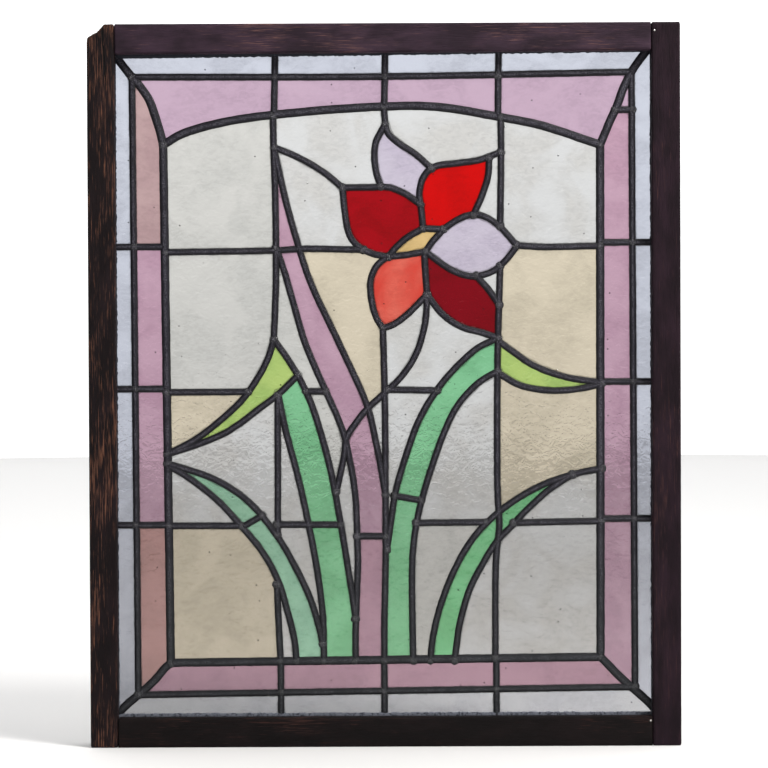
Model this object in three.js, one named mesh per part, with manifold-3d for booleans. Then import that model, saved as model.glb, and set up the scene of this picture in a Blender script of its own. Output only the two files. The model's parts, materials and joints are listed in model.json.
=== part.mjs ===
import * as THREE from "three";
import { ConvexGeometry } from "three/addons/geometries/ConvexGeometry.js";
import { mergeVertices } from "three/addons/utils/BufferGeometryUtils.js";
import Module from "manifold-3d";

// A leaded light with a flower in it, in its wooden frame.
// Millimetres. +X is to the right as the front is seen, the front looks along -Y, +Z is up.
// The origin is on the underside of the frame, at the middle of its width and thickness.

const wasm = await Module();
wasm.setup();

// Wooden frame
const FRAME_WIDTH = 560;
const FRAME_HEIGHT = 684;
const FRAME_THICKNESS = 34;
const LEFT_STILE_WIDTH = 26;
const RIGHT_STILE_WIDTH = 27.3;
const BOTTOM_RAIL_WIDTH = 28;
const TOP_RAIL_LEFT_WIDTH = 28.2;
const TOP_RAIL_RIGHT_WIDTH = 26.6;
const FRONT_REVEAL = 12;
const REBATE_WIDTH = 9;

// Stub tenons at the ends of the rails
const TENON_LENGTH = 12;
const TENON_HEIGHT = 10;
const TENON_THICKNESS = 12;
const TENON_FROM_EDGE = 6;

// The corner broken off the left stile, and the middle of the break as shares of it
const CHIP_ALONG_TOP = 16.6;
const CHIP_DOWN_SIDE = 12.8;
const CHIP_MIDDLE = [0.57, 0.56];

// Lead cames, an H in section: two leaves joined by a heart
const THIN_CAME = 6.3;
const HEAVY_CAME = 8;
const CAME_DEPTH = 5.5;
const LEAF_THICKNESS = 1.2;
const HEART_THICKNESS = 1.6;
const SOLDERED_LAP = 1.6;

// How far the leaf of the edge came shows inside the daylight opening, at each corner
const EDGE_CAME_SHOWS = {
  bottomLeft: [0.3, 2.6],
  bottomRight: [0.3, 2.6],
  topRight: [0.3, 0.2],
  topLeft: [0.3, 3],
};

// Glass and putty
const GLASS_THICKNESS = 2.5;
const PUTTY_DEPTH = 9;
const PUTTY_LIP = 0.8;
const PUTTY_FOOT = 8.2;

// Clearances
const FIT_GAP = 0.3;
const GLASS_TO_HEART = 0.4;
const PANEL_TO_REBATE = 1;

// Corners of the two lead rectangles, each inward from its own corner of the daylight opening
const OUTER_RECTANGLE = {
  bottomLeft: [18.2, 20.2],
  bottomRight: [15.5, 26],
  topRight: [17.5, 19],
  topLeft: [15.4, 20.4],
};
const INNER_RECTANGLE = {
  bottomLeft: [49.2, 50.6],
  bottomRight: [48.2, 54.7],
  topRight: [47.4, 87.8],
  topLeft: [44.7, 84.6],
};
const OUTER_TOP_SAG = 1.9;

// Mitre cames from each corner of the opening inward: where they start, and their bow
const MITRE_START = {
  bottomLeft: [-3, 1],
  bottomRight: [-4, 1.6],
  topRight: [2.5, -3],
  topLeft: [-3, -3],
};
const MITRE_BOW = { bottomLeft: 0, bottomRight: 4, topRight: 0, topLeft: 5.3 };

// Short cames across the two borders, measured up or along from the lower left of the opening
const LEFT_BORDER_CAMES = [182, 311.5, 446.5];
const RIGHT_BORDER_CAMES = [186.5, 316.8, 449];
const TOP_BORDER_CAMES = [150.5, 255.2, 363];
const BOTTOM_BORDER_CAMES = [154, 252.6, 359.2];
const SMALL_CAME_BELOW_TOP = 54.7;

// A bent came is made of straight steps. Its leaves leave the curve by no more than the first
// of these, and the heart and the glass, hidden between the leaves, by no more than the second.
const LEAF_CHORD_ERROR = 1.15;
const HEART_CHORD_ERROR = 1.6;
const CURVE_SAMPLES = 48;

// A corner that stands out by less than this is left out of a joined outline
const SMALLEST_LEAF_CORNER = 0.5;
const SMALLEST_GLASS_CORNER = 0.2;
const FLATNESS = 0.002;

// The cartoon: the full size drawing of the field, whose edges are here
const CARTOON = { left: -207.05, right: 204.9, bottom: 80.65, top: 570.4 };

// The arch over the field, between the two upper corners
const ARCH = [
  [-189.8, 581.7], [-150, 592.9], [-101.5, 599.7], [0, 607], [51.9, 606.4], [109.9, 596.3], [151.4, 587.4],
];

const BARS = [
  [[-105, 598], [-104.5, 565], [-103.2, 520], [-103, 440], [-105.3, 386]],
  [[-101.8, 333], [-102.3, 210], [-102.6, 200]],
  [[-103.3, 153], [-100.3, 80]],
  [[0.3, 606], [1.3, 590]],
  [[-1.5, 397], [0, 325], [0.3, 240], [0.1, 170], [-1.2, 120], [-1.5, 80]],
  [[111, 596], [111.3, 565], [110.2, 493]],
  [[110, 455], [107.4, 370], [106.9, 240], [108.4, 208], [105.3, 178], [104.2, 82]],
  [[-208, 469.3], [-103, 470.7], [-80, 472], [-20, 471]],
  [[125.5, 474.5], [150, 472.9], [205, 473.8]],
  [[-207.5, 336.3], [-130, 336.4]],
  [[-75, 336.7], [-56.5, 336.5]],
  [[3, 338], [50, 337]],
  [[-206, 209.2], [-137, 209]],
  [[-103, 210], [-42.5, 209.7]],
  [[29.5, 211], [96, 211.5]],
  [[122, 210.8], [205, 212.3]],
];

const FLOWER = {
  bud_left: [[1.3, 590], [-2.5, 583], [-7.5, 573], [-9, 560], [-7.5, 545], [-3, 531]],
  bud_right: [[1.3, 590], [4, 581.5], [14, 572], [30, 561.5], [45, 548]],
  left_petal_top: [[-39.5, 530], [-14, 530.2], [5, 530], [20, 524], [35, 513.5]],
  left_petal_side: [[-39.5, 530], [-37, 505], [-33, 485], [-25.5, 475], [-12, 467.5], [4, 464]],
  heart_top: [[4, 464.5], [11, 472.8], [22, 482.5], [37, 491]],
  red_petal: [
    [37, 491], [35.5, 508], [33.5, 524], [37.5, 539.5], [47, 549], [70, 552.7], [90, 555.5], [111, 563],
  ],
  red_petal_side: [[100, 558], [98.8, 540], [93, 522], [85, 503.5]],
  red_petal_foot: [[37, 491], [56, 490]],
  heart_foot: [[3, 464.2], [20, 465.8], [39, 469]],
  heart_side: [[39, 469], [46, 478.5], [56, 490]],
  right_petal_top: [[56, 490], [70, 499.3], [84, 504], [97, 501.3], [110.7, 491.5], [126, 474]],
  right_petal_foot: [[126, 474], [116, 461], [103, 450], [84, 445.3], [65, 450.8], [39, 469]],
  orange_petal_side: [[3, 464.2], [-7, 456], [-12.5, 444], [-13, 428], [-8, 407], [-1.5, 396.5]],
  orange_petal_foot: [[-1.5, 396.5], [8, 399.5], [20, 408], [40.5, 428]],
  petal_division: [[38, 468.5], [39, 450], [40.5, 428]],
  lower_petal_foot: [[40.5, 428], [55, 409.5], [74.5, 396.6], [92, 392], [108, 386.5]],
  lower_petal_side: [[87, 446], [98, 434], [109.2, 418]],
  tendril_from_left: [[-104, 568], [-99, 566.5], [-75, 555.5], [-55, 543], [-39.5, 530]],
};

const STEMS = {
  thin_stem: [
    [40.5, 428], [38.5, 401], [30, 372], [0, 336], [-29, 304.5], [-37.5, 287], [-43, 256], [-46.5, 241],
  ],
  pink_stem_right: [
    [-104, 567], [-83, 480], [-70, 440], [-42.2, 380], [-16.5, 322], [-5.5, 272], [0.3, 238],
  ],
  pink_stem_left: [
    [-103.3, 473], [-86.3, 420], [-75, 381], [-43.5, 308], [-28.8, 241], [-26.3, 185], [-28.8, 80],
  ],
  pink_stem_cut: [[-27, 198.7], [0.3, 198.5]],
};

const LEAVES = {
  yellow_green_left_top: [[-105.3, 386], [-110.5, 369], [-134.5, 330], [-180, 291.5], [-207, 277.5]],
  yellow_green_left_foot: [[-82.5, 352], [-119.8, 320], [-150, 298.5], [-180, 286], [-207, 277.5]],
  green_left_outer: [[-101.5, 335], [-94.5, 300], [-81.5, 250], [-67.3, 180], [-59.5, 118], [-59.1, 80]],
  green_left_inner: [[-105.3, 386], [-81.5, 350], [-61.8, 300], [-42.3, 210], [-28.7, 120]],
  pale_left_top: [[-207, 268.5], [-160, 252.3], [-130, 232], [-86, 170], [-60, 96]],
  pale_left_foot: [[-207, 267], [-184, 253.5], [-160, 233.8], [-117, 184], [-94.2, 130], [-85, 80]],
  pale_left_cut: [[-136, 207.8], [-117, 218.8]],
  green_right_outer: [[107.5, 386.5], [69.8, 361], [33, 310], [9.7, 240], [0.4, 190]],
  green_right_inner: [[107.6, 355.5], [69.8, 323.5], [36.7, 240], [25.8, 180], [26, 80]],
  green_right_cut: [[9, 237], [34, 232.5]],
  yellow_green_right_top: [[107.4, 384.5], [122, 373.5], [150, 356.5], [207, 343.5]],
  yellow_green_right_foot: [[107.6, 353.5], [136, 339.4], [168, 336.5], [207, 343]],
  low_right_top: [[206, 262.3], [150, 247], [108, 221.5], [62.7, 160], [42.3, 80]],
  low_right_foot: [[178, 256.8], [135, 223.5], [91.5, 170], [74.3, 130], [65.5, 80]],
};

// Every pane of the field: its colour, and a point of the cartoon that lies in it
const PANES = {
  left_clear_1: ["clear_warm", [-155, 520]],
  left_clear_2: ["clear_warm", [-160, 400]],
  left_tan_3: ["tan", [-185, 320]],
  left_clear_4: ["clear_grey", [-130, 270]],
  left_clear_5: ["clear_grey", [-185, 230]],
  left_tan_6: ["tan", [-170, 150]],
  leaf_left_yellow_green: ["yellow_green", [-105, 355]],
  leaf_left_green_upper: ["green", [-78, 290]],
  leaf_left_green_lower: ["green", [-48, 150]],
  leaf_left_pale_upper: ["pale_green", [-140, 226]],
  leaf_left_pale_lower: ["pale_green", [-92, 160]],
  middle_clear_1: ["clear_grey", [-50, 575]],
  middle_clear_2: ["clear_grey", [-65, 510]],
  middle_clear_3: ["clear_warm", [-93, 410]],
  middle_tan_4: ["tan", [-30, 420]],
  middle_clear_5: ["clear_warm", [-55, 310]],
  middle_clear_6: ["clear_grey", [-35, 215]],
  middle_clear_7: ["clear_grey", [-6, 308]],
  middle_clear_8: ["clear_grey", [-92, 240]],
  middle_clear_9: ["clear_grey", [-83, 190]],
  middle_clear_10: ["clear_grey", [-95, 105]],
  stem_pink_1: ["pink", [-96, 500]],
  stem_pink_2: ["pink", [-77, 430]],
  stem_pink_3: ["pink", [-18, 250]],
  stem_pink_4: ["pink", [-15, 140]],
  petal_top_lilac: ["lilac", [15, 550]],
  petal_left_dark_red: ["dark_red", [-10, 500]],
  petal_right_red: ["red", [65, 525]],
  flower_heart_yellow: ["yellow", [30, 478]],
  petal_right_lilac: ["lilac", [85, 475]],
  petal_lower_dark_red: ["dark_red", [70, 425]],
  petal_lower_orange: ["orange", [15, 440]],
  centre_clear_1: ["clear_grey", [60, 580]],
  centre_clear_2: ["clear_grey", [103, 530]],
  centre_clear_3: ["clear_grey", [105, 438]],
  centre_clear_4: ["clear_grey", [15, 380]],
  centre_clear_5: ["clear_grey", [58, 380]],
  centre_clear_6: ["clear_grey", [13, 305]],
  centre_clear_7: ["clear_grey", [80, 270]],
  centre_clear_8: ["clear_warm", [46, 170]],
  centre_clear_9: ["clear_grey", [92, 120]],
  leaf_right_green_upper: ["green", [52, 320]],
  leaf_right_green_lower: ["green", [14, 170]],
  leaf_right_yellow_green: ["yellow_green", [135, 351]],
  leaf_low_right_tip: ["green", [122, 221]],
  leaf_low_right_base: ["green", [80, 170]],
  right_clear_1: ["clear_grey", [155, 530]],
  right_tan_2: ["tan", [155, 420]],
  right_tan_3: ["tan", [150, 300]],
  right_clear_4: ["clear_grey", [175, 230]],
  right_clear_5: ["clear_grey", [155, 150]],
};

// Colours as seen with white light behind the glass
const COLOURS = {
  clear_warm: 0xd9d4c4,
  clear_grey: 0xd2d2cc,
  tan: 0xd3c6a6,
  yellow_green: 0xa3c66e,
  green: 0x78c290,
  pale_green: 0x96bea8,
  pink: 0xc4a0b4,
  lilac: 0xd3cce0,
  dark_red: 0xa5000f,
  red: 0xd70808,
  orange: 0xe15a4b,
  yellow: 0xe1c87d,
  blue_grey: 0xc4cbdc,
  lead: 0x3c3a40,
  wood: 0x33262a,
  putty: 0x4b4e52,
};
const GLASS_ROUGHNESS = 0.12;
const LEAD_ROUGHNESS = 0.5;
const WOOD_ROUGHNESS = 0.7;

const halfWidth = FRAME_WIDTH / 2;
const halfThickness = FRAME_THICKNESS / 2;

// The daylight opening, corner by corner
const SIGHT = {
  bottomLeft: [-halfWidth + LEFT_STILE_WIDTH, BOTTOM_RAIL_WIDTH],
  bottomRight: [halfWidth - RIGHT_STILE_WIDTH, BOTTOM_RAIL_WIDTH],
  topRight: [halfWidth - RIGHT_STILE_WIDTH, FRAME_HEIGHT - TOP_RAIL_RIGHT_WIDTH],
  topLeft: [-halfWidth + LEFT_STILE_WIDTH, FRAME_HEIGHT - TOP_RAIL_LEFT_WIDTH],
};
const INWARD = { bottomLeft: [1, 1], bottomRight: [-1, 1], topRight: [-1, -1], topLeft: [1, -1] };
const CORNERS = Object.keys(SIGHT);

// Depths, from the front backwards
const cameFront = -halfThickness + FRONT_REVEAL;
const cameBack = cameFront + CAME_DEPTH;
const glassFront = cameFront + (CAME_DEPTH - GLASS_THICKNESS) / 2;
const glassBack = glassFront + GLASS_THICKNESS;
const shoulder = cameFront - FIT_GAP;
const puttyFront = cameBack + FIT_GAP;

// Distances outward from the daylight opening
const panelEdge = REBATE_WIDTH - PANEL_TO_REBATE;
const edgeHeart = panelEdge - HEART_THICKNESS;
const glassEdge = edgeHeart - GLASS_TO_HEART;
const glassCut = HEART_THICKNESS + 2 * GLASS_TO_HEART;

function corner(name, inset) {
  return [SIGHT[name][0] + INWARD[name][0] * inset[0], SIGHT[name][1] + INWARD[name][1] * inset[1]];
}

function openingOutline(outward) {
  return CORNERS.map((name) => corner(name, [-outward, -outward]));
}

function between(a, b, share) {
  return [a[0] + (b[0] - a[0]) * share, a[1] + (b[1] - a[1]) * share];
}

function direction(a, b) {
  const length = Math.hypot(b[0] - a[0], b[1] - a[1]);
  return [(b[0] - a[0]) / length, (b[1] - a[1]) / length];
}

function ordered(a, b) {
  return a < b ? [a, b] : [b, a];
}

function toSolid(geometry) {
  const bare = geometry.clone();
  bare.deleteAttribute("normal");
  bare.deleteAttribute("uv");
  const merged = mergeVertices(bare);
  const vertProperties = new Float32Array(merged.attributes.position.array);
  const triVerts = new Uint32Array(merged.index.array);
  return new wasm.Manifold(new wasm.Mesh({ numProp: 3, vertProperties, triVerts }));
}

function toGeometry(solid) {
  const { vertProperties, triVerts } = solid.getMesh();
  const geometry = new THREE.BufferGeometry();
  geometry.setAttribute("position", new THREE.BufferAttribute(new Float32Array(vertProperties), 3));
  geometry.setIndex(new THREE.BufferAttribute(new Uint32Array(triVerts), 1));
  geometry.computeVertexNormals();
  return geometry;
}

function path(points) {
  return points.map(([x, z]) => new THREE.Vector2(x, z));
}

// An outline in X and Z, carried from its front to its back
function prism(points, front, back, hole) {
  const shape = new THREE.Shape(path(points));
  if (hole) shape.holes.push(new THREE.Path(path(hole)));
  const geometry = new THREE.ExtrudeGeometry(shape, { depth: back - front, bevelEnabled: false });
  geometry.rotateX(Math.PI / 2);
  geometry.translate(0, back, 0);
  return toSolid(geometry);
}

function block([x0, x1], [z0, z1], front, back) {
  return prism([[x0, z0], [x1, z0], [x1, z1], [x0, z1]], front, back);
}

// Joined solids, with the faces that lie in one plane made one
function union(solids, smallestCorner) {
  const joined = solids.reduce((whole, next) => whole.add(next));
  return joined.asOriginal().simplify(smallestCorner);
}

const group = new THREE.Group();

function addPiece(name, solid, colour, roughness, metalness = 0) {
  const material = new THREE.MeshStandardMaterial({ color: COLOURS[colour], roughness, metalness });
  const mesh = new THREE.Mesh(toGeometry(solid), material);
  mesh.name = name;
  group.add(mesh);
}

// Wooden frame: two full-height stiles, two rails tenoned between them, one rebate behind

function rebate() {
  return prism(openingOutline(REBATE_WIDTH), shoulder, halfThickness + FIT_GAP);
}

// A rail's tenon, or its mortise when it is grown by a clearance; side and end are -1 or 1
function tenon(side, end, grow) {
  const inner = side < 0 ? SIGHT.bottomLeft[0] : SIGHT.bottomRight[0];
  const root = inner - side * 2 * FIT_GAP;
  const tip = inner + side * (TENON_LENGTH + grow);
  const outer = end < 0 ? 0 : FRAME_HEIGHT;
  const near = outer - end * (TENON_FROM_EDGE - grow);
  const far = outer - end * (TENON_FROM_EDGE + TENON_HEIGHT + grow);
  const depth = TENON_THICKNESS / 2 + grow;
  return block(ordered(root, tip), ordered(near, far), -depth, depth);
}

function chip() {
  const across = [-halfWidth, -halfWidth + CHIP_ALONG_TOP];
  const middle = [
    across[0] + CHIP_ALONG_TOP * CHIP_MIDDLE[0],
    FRAME_HEIGHT - CHIP_DOWN_SIDE * CHIP_MIDDLE[1],
  ];
  const broken = [
    [across[0] - FIT_GAP, FRAME_HEIGHT - CHIP_DOWN_SIDE],
    middle,
    [across[1], FRAME_HEIGHT + FIT_GAP],
    [across[0] - FIT_GAP, FRAME_HEIGHT + FIT_GAP],
  ];
  return prism(broken, -halfThickness - FIT_GAP, halfThickness + FIT_GAP);
}

function stile(side) {
  const inner = side < 0 ? SIGHT.bottomLeft[0] : SIGHT.bottomRight[0];
  const across = ordered(side * halfWidth, inner);
  const board = block(across, [0, FRAME_HEIGHT], -halfThickness, halfThickness);
  const mortises = tenon(side, -1, FIT_GAP).add(tenon(side, 1, FIT_GAP));
  const wood = board.subtract(rebate()).subtract(mortises);
  return side < 0 ? wood.subtract(chip()) : wood;
}

function rail(end) {
  const [left, right] = [SIGHT.bottomLeft[0] + FIT_GAP, SIGHT.bottomRight[0] - FIT_GAP];
  const leftEdge = end < 0 ? SIGHT.bottomLeft[1] : SIGHT.topLeft[1];
  const rightEdge = end < 0 ? SIGHT.bottomRight[1] : SIGHT.topRight[1];
  const outer = end < 0 ? 0 : FRAME_HEIGHT;
  const outline = [[left, outer], [right, outer], [right, rightEdge], [left, leftEdge]];
  const board = prism(outline, -halfThickness, halfThickness);
  return board.subtract(rebate()).add(tenon(-1, end, 0)).add(tenon(1, end, 0));
}

addPiece("left_stile", stile(-1), "wood", WOOD_ROUGHNESS);
addPiece("right_stile", stile(1), "wood", WOOD_ROUGHNESS);
addPiece("top_rail", rail(1), "wood", WOOD_ROUGHNESS);
addPiece("bottom_rail", rail(-1), "wood", WOOD_ROUGHNESS);

// Lines of the cames

// Keeps the fewest points that stay within the chord error
function thinOut(points, chordError) {
  const [a, b] = [points[0], points[points.length - 1]];
  const along = direction(a, b);
  let worst = 0;
  let at = 0;
  for (let i = 1; i < points.length - 1; i++) {
    const off = Math.abs((points[i][0] - a[0]) * along[1] - (points[i][1] - a[1]) * along[0]);
    if (off > worst) [worst, at] = [off, i];
  }
  if (worst < chordError) return [a, b];
  const before = thinOut(points.slice(0, at + 1), chordError);
  return [...before.slice(0, -1), ...thinOut(points.slice(at), chordError)];
}

function bend(points, chordError) {
  if (points.length === 2) return points;
  const through = points.map(([x, z]) => new THREE.Vector3(x, 0, z));
  const curve = new THREE.CatmullRomCurve3(through, false, "centripetal");
  return thinOut(curve.getPoints(CURVE_SAMPLES).map((point) => [point.x, point.z]), chordError);
}

function lengthen(line, by) {
  const [first, second] = line;
  const [last, end] = line.slice(-2);
  const back = direction(second, first);
  const on = direction(last, end);
  const start = [first[0] + back[0] * by, first[1] + back[1] * by];
  return [start, ...line.slice(1, -1), [end[0] + on[0] * by, end[1] + on[1] * by]];
}

// A came's outline: its line, offset to both sides
function ribbon(line, width) {
  const left = [];
  const right = [];
  line.forEach(([x, z], i) => {
    const last = Math.max(i, 1);
    const next = Math.min(i, line.length - 2);
    const before = direction(line[last - 1], line[last]);
    const after = direction(line[next], line[next + 1]);
    const across = [-(before[1] + after[1]), before[0] + after[0]];
    const scale = width / (across[0] ** 2 + across[1] ** 2);
    left.push([x + across[0] * scale, z + across[1] * scale]);
    right.unshift([x - across[0] * scale, z - across[1] * scale]);
  });
  return [...left, ...right];
}

function inset(rectangle) {
  return Object.fromEntries(CORNERS.map((name) => [name, corner(name, rectangle[name])]));
}

const outerAt = inset(OUTER_RECTANGLE);
const innerAt = inset(INNER_RECTANGLE);

// The cartoon, fitted to the field
const field = {
  left: (innerAt.topLeft[0] + innerAt.bottomLeft[0]) / 2,
  right: (innerAt.topRight[0] + innerAt.bottomRight[0]) / 2,
  bottom: (innerAt.bottomLeft[1] + innerAt.bottomRight[1]) / 2,
  top: (innerAt.topLeft[1] + innerAt.topRight[1]) / 2,
};

function place([x, z]) {
  const along = (x - CARTOON.left) / (CARTOON.right - CARTOON.left);
  const up = (z - CARTOON.bottom) / (CARTOON.top - CARTOON.bottom);
  return [field.left + along * (field.right - field.left), field.bottom + up * (field.top - field.bottom)];
}

function sagging(from, to, sag) {
  const middle = between(from, to, 0.5);
  return bend([from, [middle[0], middle[1] - sag], to], LEAF_CHORD_ERROR);
}

// A loop of four sides as one closed line of points
function loop(sides) {
  return sides.flatMap((line) => line.slice(0, -1));
}

function loopRing(points, width, front, back) {
  const closed = [points[points.length - 1], ...points, points[0]];
  const offset = ribbon(closed, width);
  const count = points.length;
  const outside = offset.slice(1, count + 1);
  const inside = offset.slice(closed.length + 1, closed.length + 1 + count);
  return prism(inside, front, back, outside);
}

const outerLoop = loop([
  [outerAt.bottomLeft, outerAt.bottomRight],
  [outerAt.bottomRight, outerAt.topRight],
  sagging(outerAt.topRight, outerAt.topLeft, OUTER_TOP_SAG),
  [outerAt.topLeft, outerAt.bottomLeft],
]);
const archLine = bend([innerAt.topLeft, ...ARCH.map(place), innerAt.topRight], LEAF_CHORD_ERROR);
const innerLoop = loop([
  [innerAt.bottomLeft, innerAt.bottomRight],
  [innerAt.bottomRight, innerAt.topRight],
  [...archLine].reverse(),
  [innerAt.topLeft, innerAt.bottomLeft],
]);

function heightOn(line, x) {
  const next = line.findIndex((point) => point[0] >= x);
  const [a, b] = [line[next - 1], line[next]];
  return between(a, b, (x - a[0]) / (b[0] - a[0]))[1];
}

function mitre(name) {
  const [outer, inner] = [outerAt[name], innerAt[name]];
  const [along, up] = direction(outer, inner);
  const middle = between(outer, inner, 0.5);
  const bow = MITRE_BOW[name];
  const bowed = [middle[0] - up * bow, middle[1] + along * bow];
  return [corner(name, MITRE_START[name]), ...bend([outer, bowed, inner], LEAF_CHORD_ERROR)];
}

function borderCames() {
  const [left, floor] = SIGHT.bottomLeft;
  const right = SIGHT.bottomRight[0];
  const across = LEFT_BORDER_CAMES.map((up) => {
    return [[left - edgeHeart, floor + up], [innerAt.bottomLeft[0], floor + up]];
  });
  const acrossRight = RIGHT_BORDER_CAMES.map((up) => {
    return [[innerAt.bottomRight[0], floor + up], [right + edgeHeart, floor + up]];
  });
  const down = TOP_BORDER_CAMES.map((along) => {
    return [[left + along, SIGHT.topLeft[1]], [left + along, heightOn(archLine, left + along)]];
  });
  const downBelow = BOTTOM_BORDER_CAMES.map((along) => {
    return [[left + along, innerAt.bottomLeft[1]], [left + along, floor - edgeHeart]];
  });
  const smallAt = SIGHT.topRight[1] - SMALL_CAME_BELOW_TOP;
  const reach = between(outerAt.topRight, innerAt.topRight, 0.5)[0];
  const small = [[reach, smallAt], [outerAt.topRight[0], smallAt]];
  return [...across, ...acrossRight, ...down, ...downBelow, small];
}

const drawn = [...BARS, ...Object.values(FLOWER), ...Object.values(STEMS), ...Object.values(LEAVES)];
const heartLines = drawn.map((points) => bend(points.map(place), HEART_CHORD_ERROR));
const leafLines = drawn.map((points) => bend(points.map(place), LEAF_CHORD_ERROR));
const thinLines = [...leafLines, ...borderCames()];
const heavyLines = CORNERS.map(mitre);

// One lattice of soldered cames: a leaf in front, a leaf behind, hearts between them

const edgeShows = CORNERS.map((name) => corner(name, EDGE_CAME_SHOWS[name]));

function leaf(front, back) {
  return union([
    prism(openingOutline(panelEdge), front, back, edgeShows),
    loopRing(outerLoop, THIN_CAME, front, back),
    loopRing(innerLoop, HEAVY_CAME, front, back),
    ...thinLines.map((line) => prism(ribbon(line, THIN_CAME), front, back)),
    ...heavyLines.map((line) => prism(ribbon(line, HEAVY_CAME), front, back)),
  ], SMALLEST_LEAF_CORNER);
}

// The hearts of the field, grown by a clearance. They stop at the heart of the loop round it.
function hearts(grow, front, back) {
  const width = HEART_THICKNESS + 2 * grow;
  const outlines = heartLines.map((line) => ribbon(lengthen(line, SOLDERED_LAP + grow), width));
  const crossing = union(outlines.map((outline) => prism(outline, front, back)), FLATNESS);
  const inside = crossing.intersect(prism(innerLoop, front, back));
  return union([loopRing(innerLoop, width, front, back), inside], FLATNESS);
}

// Solder fills the small hollows shut in between the hearts of two cames that meet in a point
function filled(solid) {
  const bodies = solid.decompose();
  return bodies.reduce((whole, next) => (next.volume() > whole.volume() ? next : whole));
}

const leafMiddle = LEAF_THICKNESS / 2;
const lattice = union([
  leaf(cameFront, cameFront + LEAF_THICKNESS),
  leaf(cameBack - LEAF_THICKNESS, cameBack),
  hearts(0, cameFront + leafMiddle, cameBack - leafMiddle),
  loopRing(outerLoop, HEART_THICKNESS, cameFront + leafMiddle, cameBack - leafMiddle),
  prism(openingOutline(panelEdge), cameFront, cameBack, openingOutline(edgeHeart)),
], FLATNESS);
addPiece("lead_cames", filled(lattice), "lead", LEAD_ROUGHNESS, 1);

// Glass: one sheet, cut apart where the hearts run

function holds(solid, [x, z]) {
  const { vertProperties, triVerts } = solid.getMesh();
  const at = (i) => [vertProperties[3 * i], vertProperties[3 * i + 2]];
  for (let t = 0; t < triVerts.length; t += 3) {
    const [a, b, c] = [at(triVerts[t]), at(triVerts[t + 1]), at(triVerts[t + 2])];
    const turns = [[a, b], [b, c], [c, a]].map(([p, q]) => {
      return (q[0] - p[0]) * (z - p[1]) - (q[1] - p[1]) * (x - p[0]);
    });
    if (turns.every((turn) => turn > 0) || turns.every((turn) => turn < 0)) return true;
  }
  return false;
}

function paneAt(sheets, point) {
  return sheets.find((sheet) => holds(sheet, point));
}

const sheet = prism(openingOutline(glassEdge), glassFront, glassBack);
const cutFront = glassFront - FIT_GAP;
const cutBack = glassBack + FIT_GAP;
const outerCut = loopRing(outerLoop, glassCut, cutFront, cutBack);
const innerCut = loopRing(innerLoop, glassCut, cutFront, cutBack);
const sheets = sheet.subtract(outerCut).subtract(innerCut).decompose();
const outerSeed = between(SIGHT.bottomLeft, outerAt.bottomLeft, 0.5);
const innerSeed = between(outerAt.bottomLeft, innerAt.bottomLeft, 0.5);
const fieldSheet = paneAt(sheets, place(PANES.left_clear_1[1]));
const panes = fieldSheet.subtract(hearts(GLASS_TO_HEART, cutFront, cutBack)).decompose();

addPiece("outer_border_glass", paneAt(sheets, outerSeed), "blue_grey", GLASS_ROUGHNESS);
addPiece("inner_border_glass", paneAt(sheets, innerSeed), "pink", GLASS_ROUGHNESS);
for (const [name, [colour, seed]] of Object.entries(PANES)) {
  const pane = paneAt(panes, place(seed)).simplify(SMALLEST_GLASS_CORNER);
  addPiece(name, pane, colour, GLASS_ROUGHNESS);
}

// Putty, a sloping fillet all round behind the panel
function putty() {
  const puttyBack = puttyFront + PUTTY_DEPTH;
  const edge = REBATE_WIDTH - FIT_GAP;
  const whole = prism(openingOutline(edge), puttyFront, puttyBack);
  const mouth = [
    [puttyFront - FIT_GAP, edge - PUTTY_FOOT],
    [puttyBack + FIT_GAP, edge - PUTTY_LIP],
  ];
  const points = mouth.flatMap(([y, outward]) => {
    return openingOutline(outward).map(([x, z]) => new THREE.Vector3(x, y, z));
  });
  return whole.subtract(toSolid(new ConvexGeometry(points)));
}

addPiece("putty", putty(), "putty", WOOD_ROUGHNESS);

export default group;
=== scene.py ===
"""A leaded window with a flower in it, in its worn wooden frame.

Metres, +Z up, the front looks along -Y. Lengths in tables are millimetres.
"""

import functools
import json
import math
import random
from collections import namedtuple

import bmesh
import bpy
import numpy as np
from mathutils import Matrix, Vector, geometry, noise


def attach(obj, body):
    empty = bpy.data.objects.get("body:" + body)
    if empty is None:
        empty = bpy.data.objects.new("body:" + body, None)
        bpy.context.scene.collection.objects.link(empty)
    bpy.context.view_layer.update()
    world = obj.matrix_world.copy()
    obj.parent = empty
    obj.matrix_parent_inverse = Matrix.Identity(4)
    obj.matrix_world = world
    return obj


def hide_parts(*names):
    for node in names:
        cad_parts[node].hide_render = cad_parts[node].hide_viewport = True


bl_info = {
    "name": "Leaded Window",
    "version": (1, 0, 0),
    "blender": (4, 5, 0),
    "location": "3D View > Sidebar > Leaded Window",
    "description": "Makes a leaded flower window and its wooden frame, piece by piece",
    "category": "Object",
}

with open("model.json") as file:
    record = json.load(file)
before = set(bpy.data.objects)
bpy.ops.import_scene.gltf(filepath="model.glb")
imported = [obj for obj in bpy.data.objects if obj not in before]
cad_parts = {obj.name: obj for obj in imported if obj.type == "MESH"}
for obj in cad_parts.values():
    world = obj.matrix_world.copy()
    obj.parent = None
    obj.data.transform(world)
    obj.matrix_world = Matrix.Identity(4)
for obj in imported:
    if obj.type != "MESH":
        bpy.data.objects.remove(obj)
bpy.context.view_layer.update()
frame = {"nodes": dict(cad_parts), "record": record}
SLOT_OF = {part["node"]: part["material_slot"] for part in frame["record"]["subparts"]}

MM = 0.001
IMAGE_WIDTH = 768
TWO_PI = 2 * math.pi

# Daylight opening of the frame, millimetres, corner by corner
SIGHT = {
    "bottom_left": (-254, 28),
    "bottom_right": (252.7, 28),
    "top_right": (252.7, 657.4),
    "top_left": (-254, 655.8),
}

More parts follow.
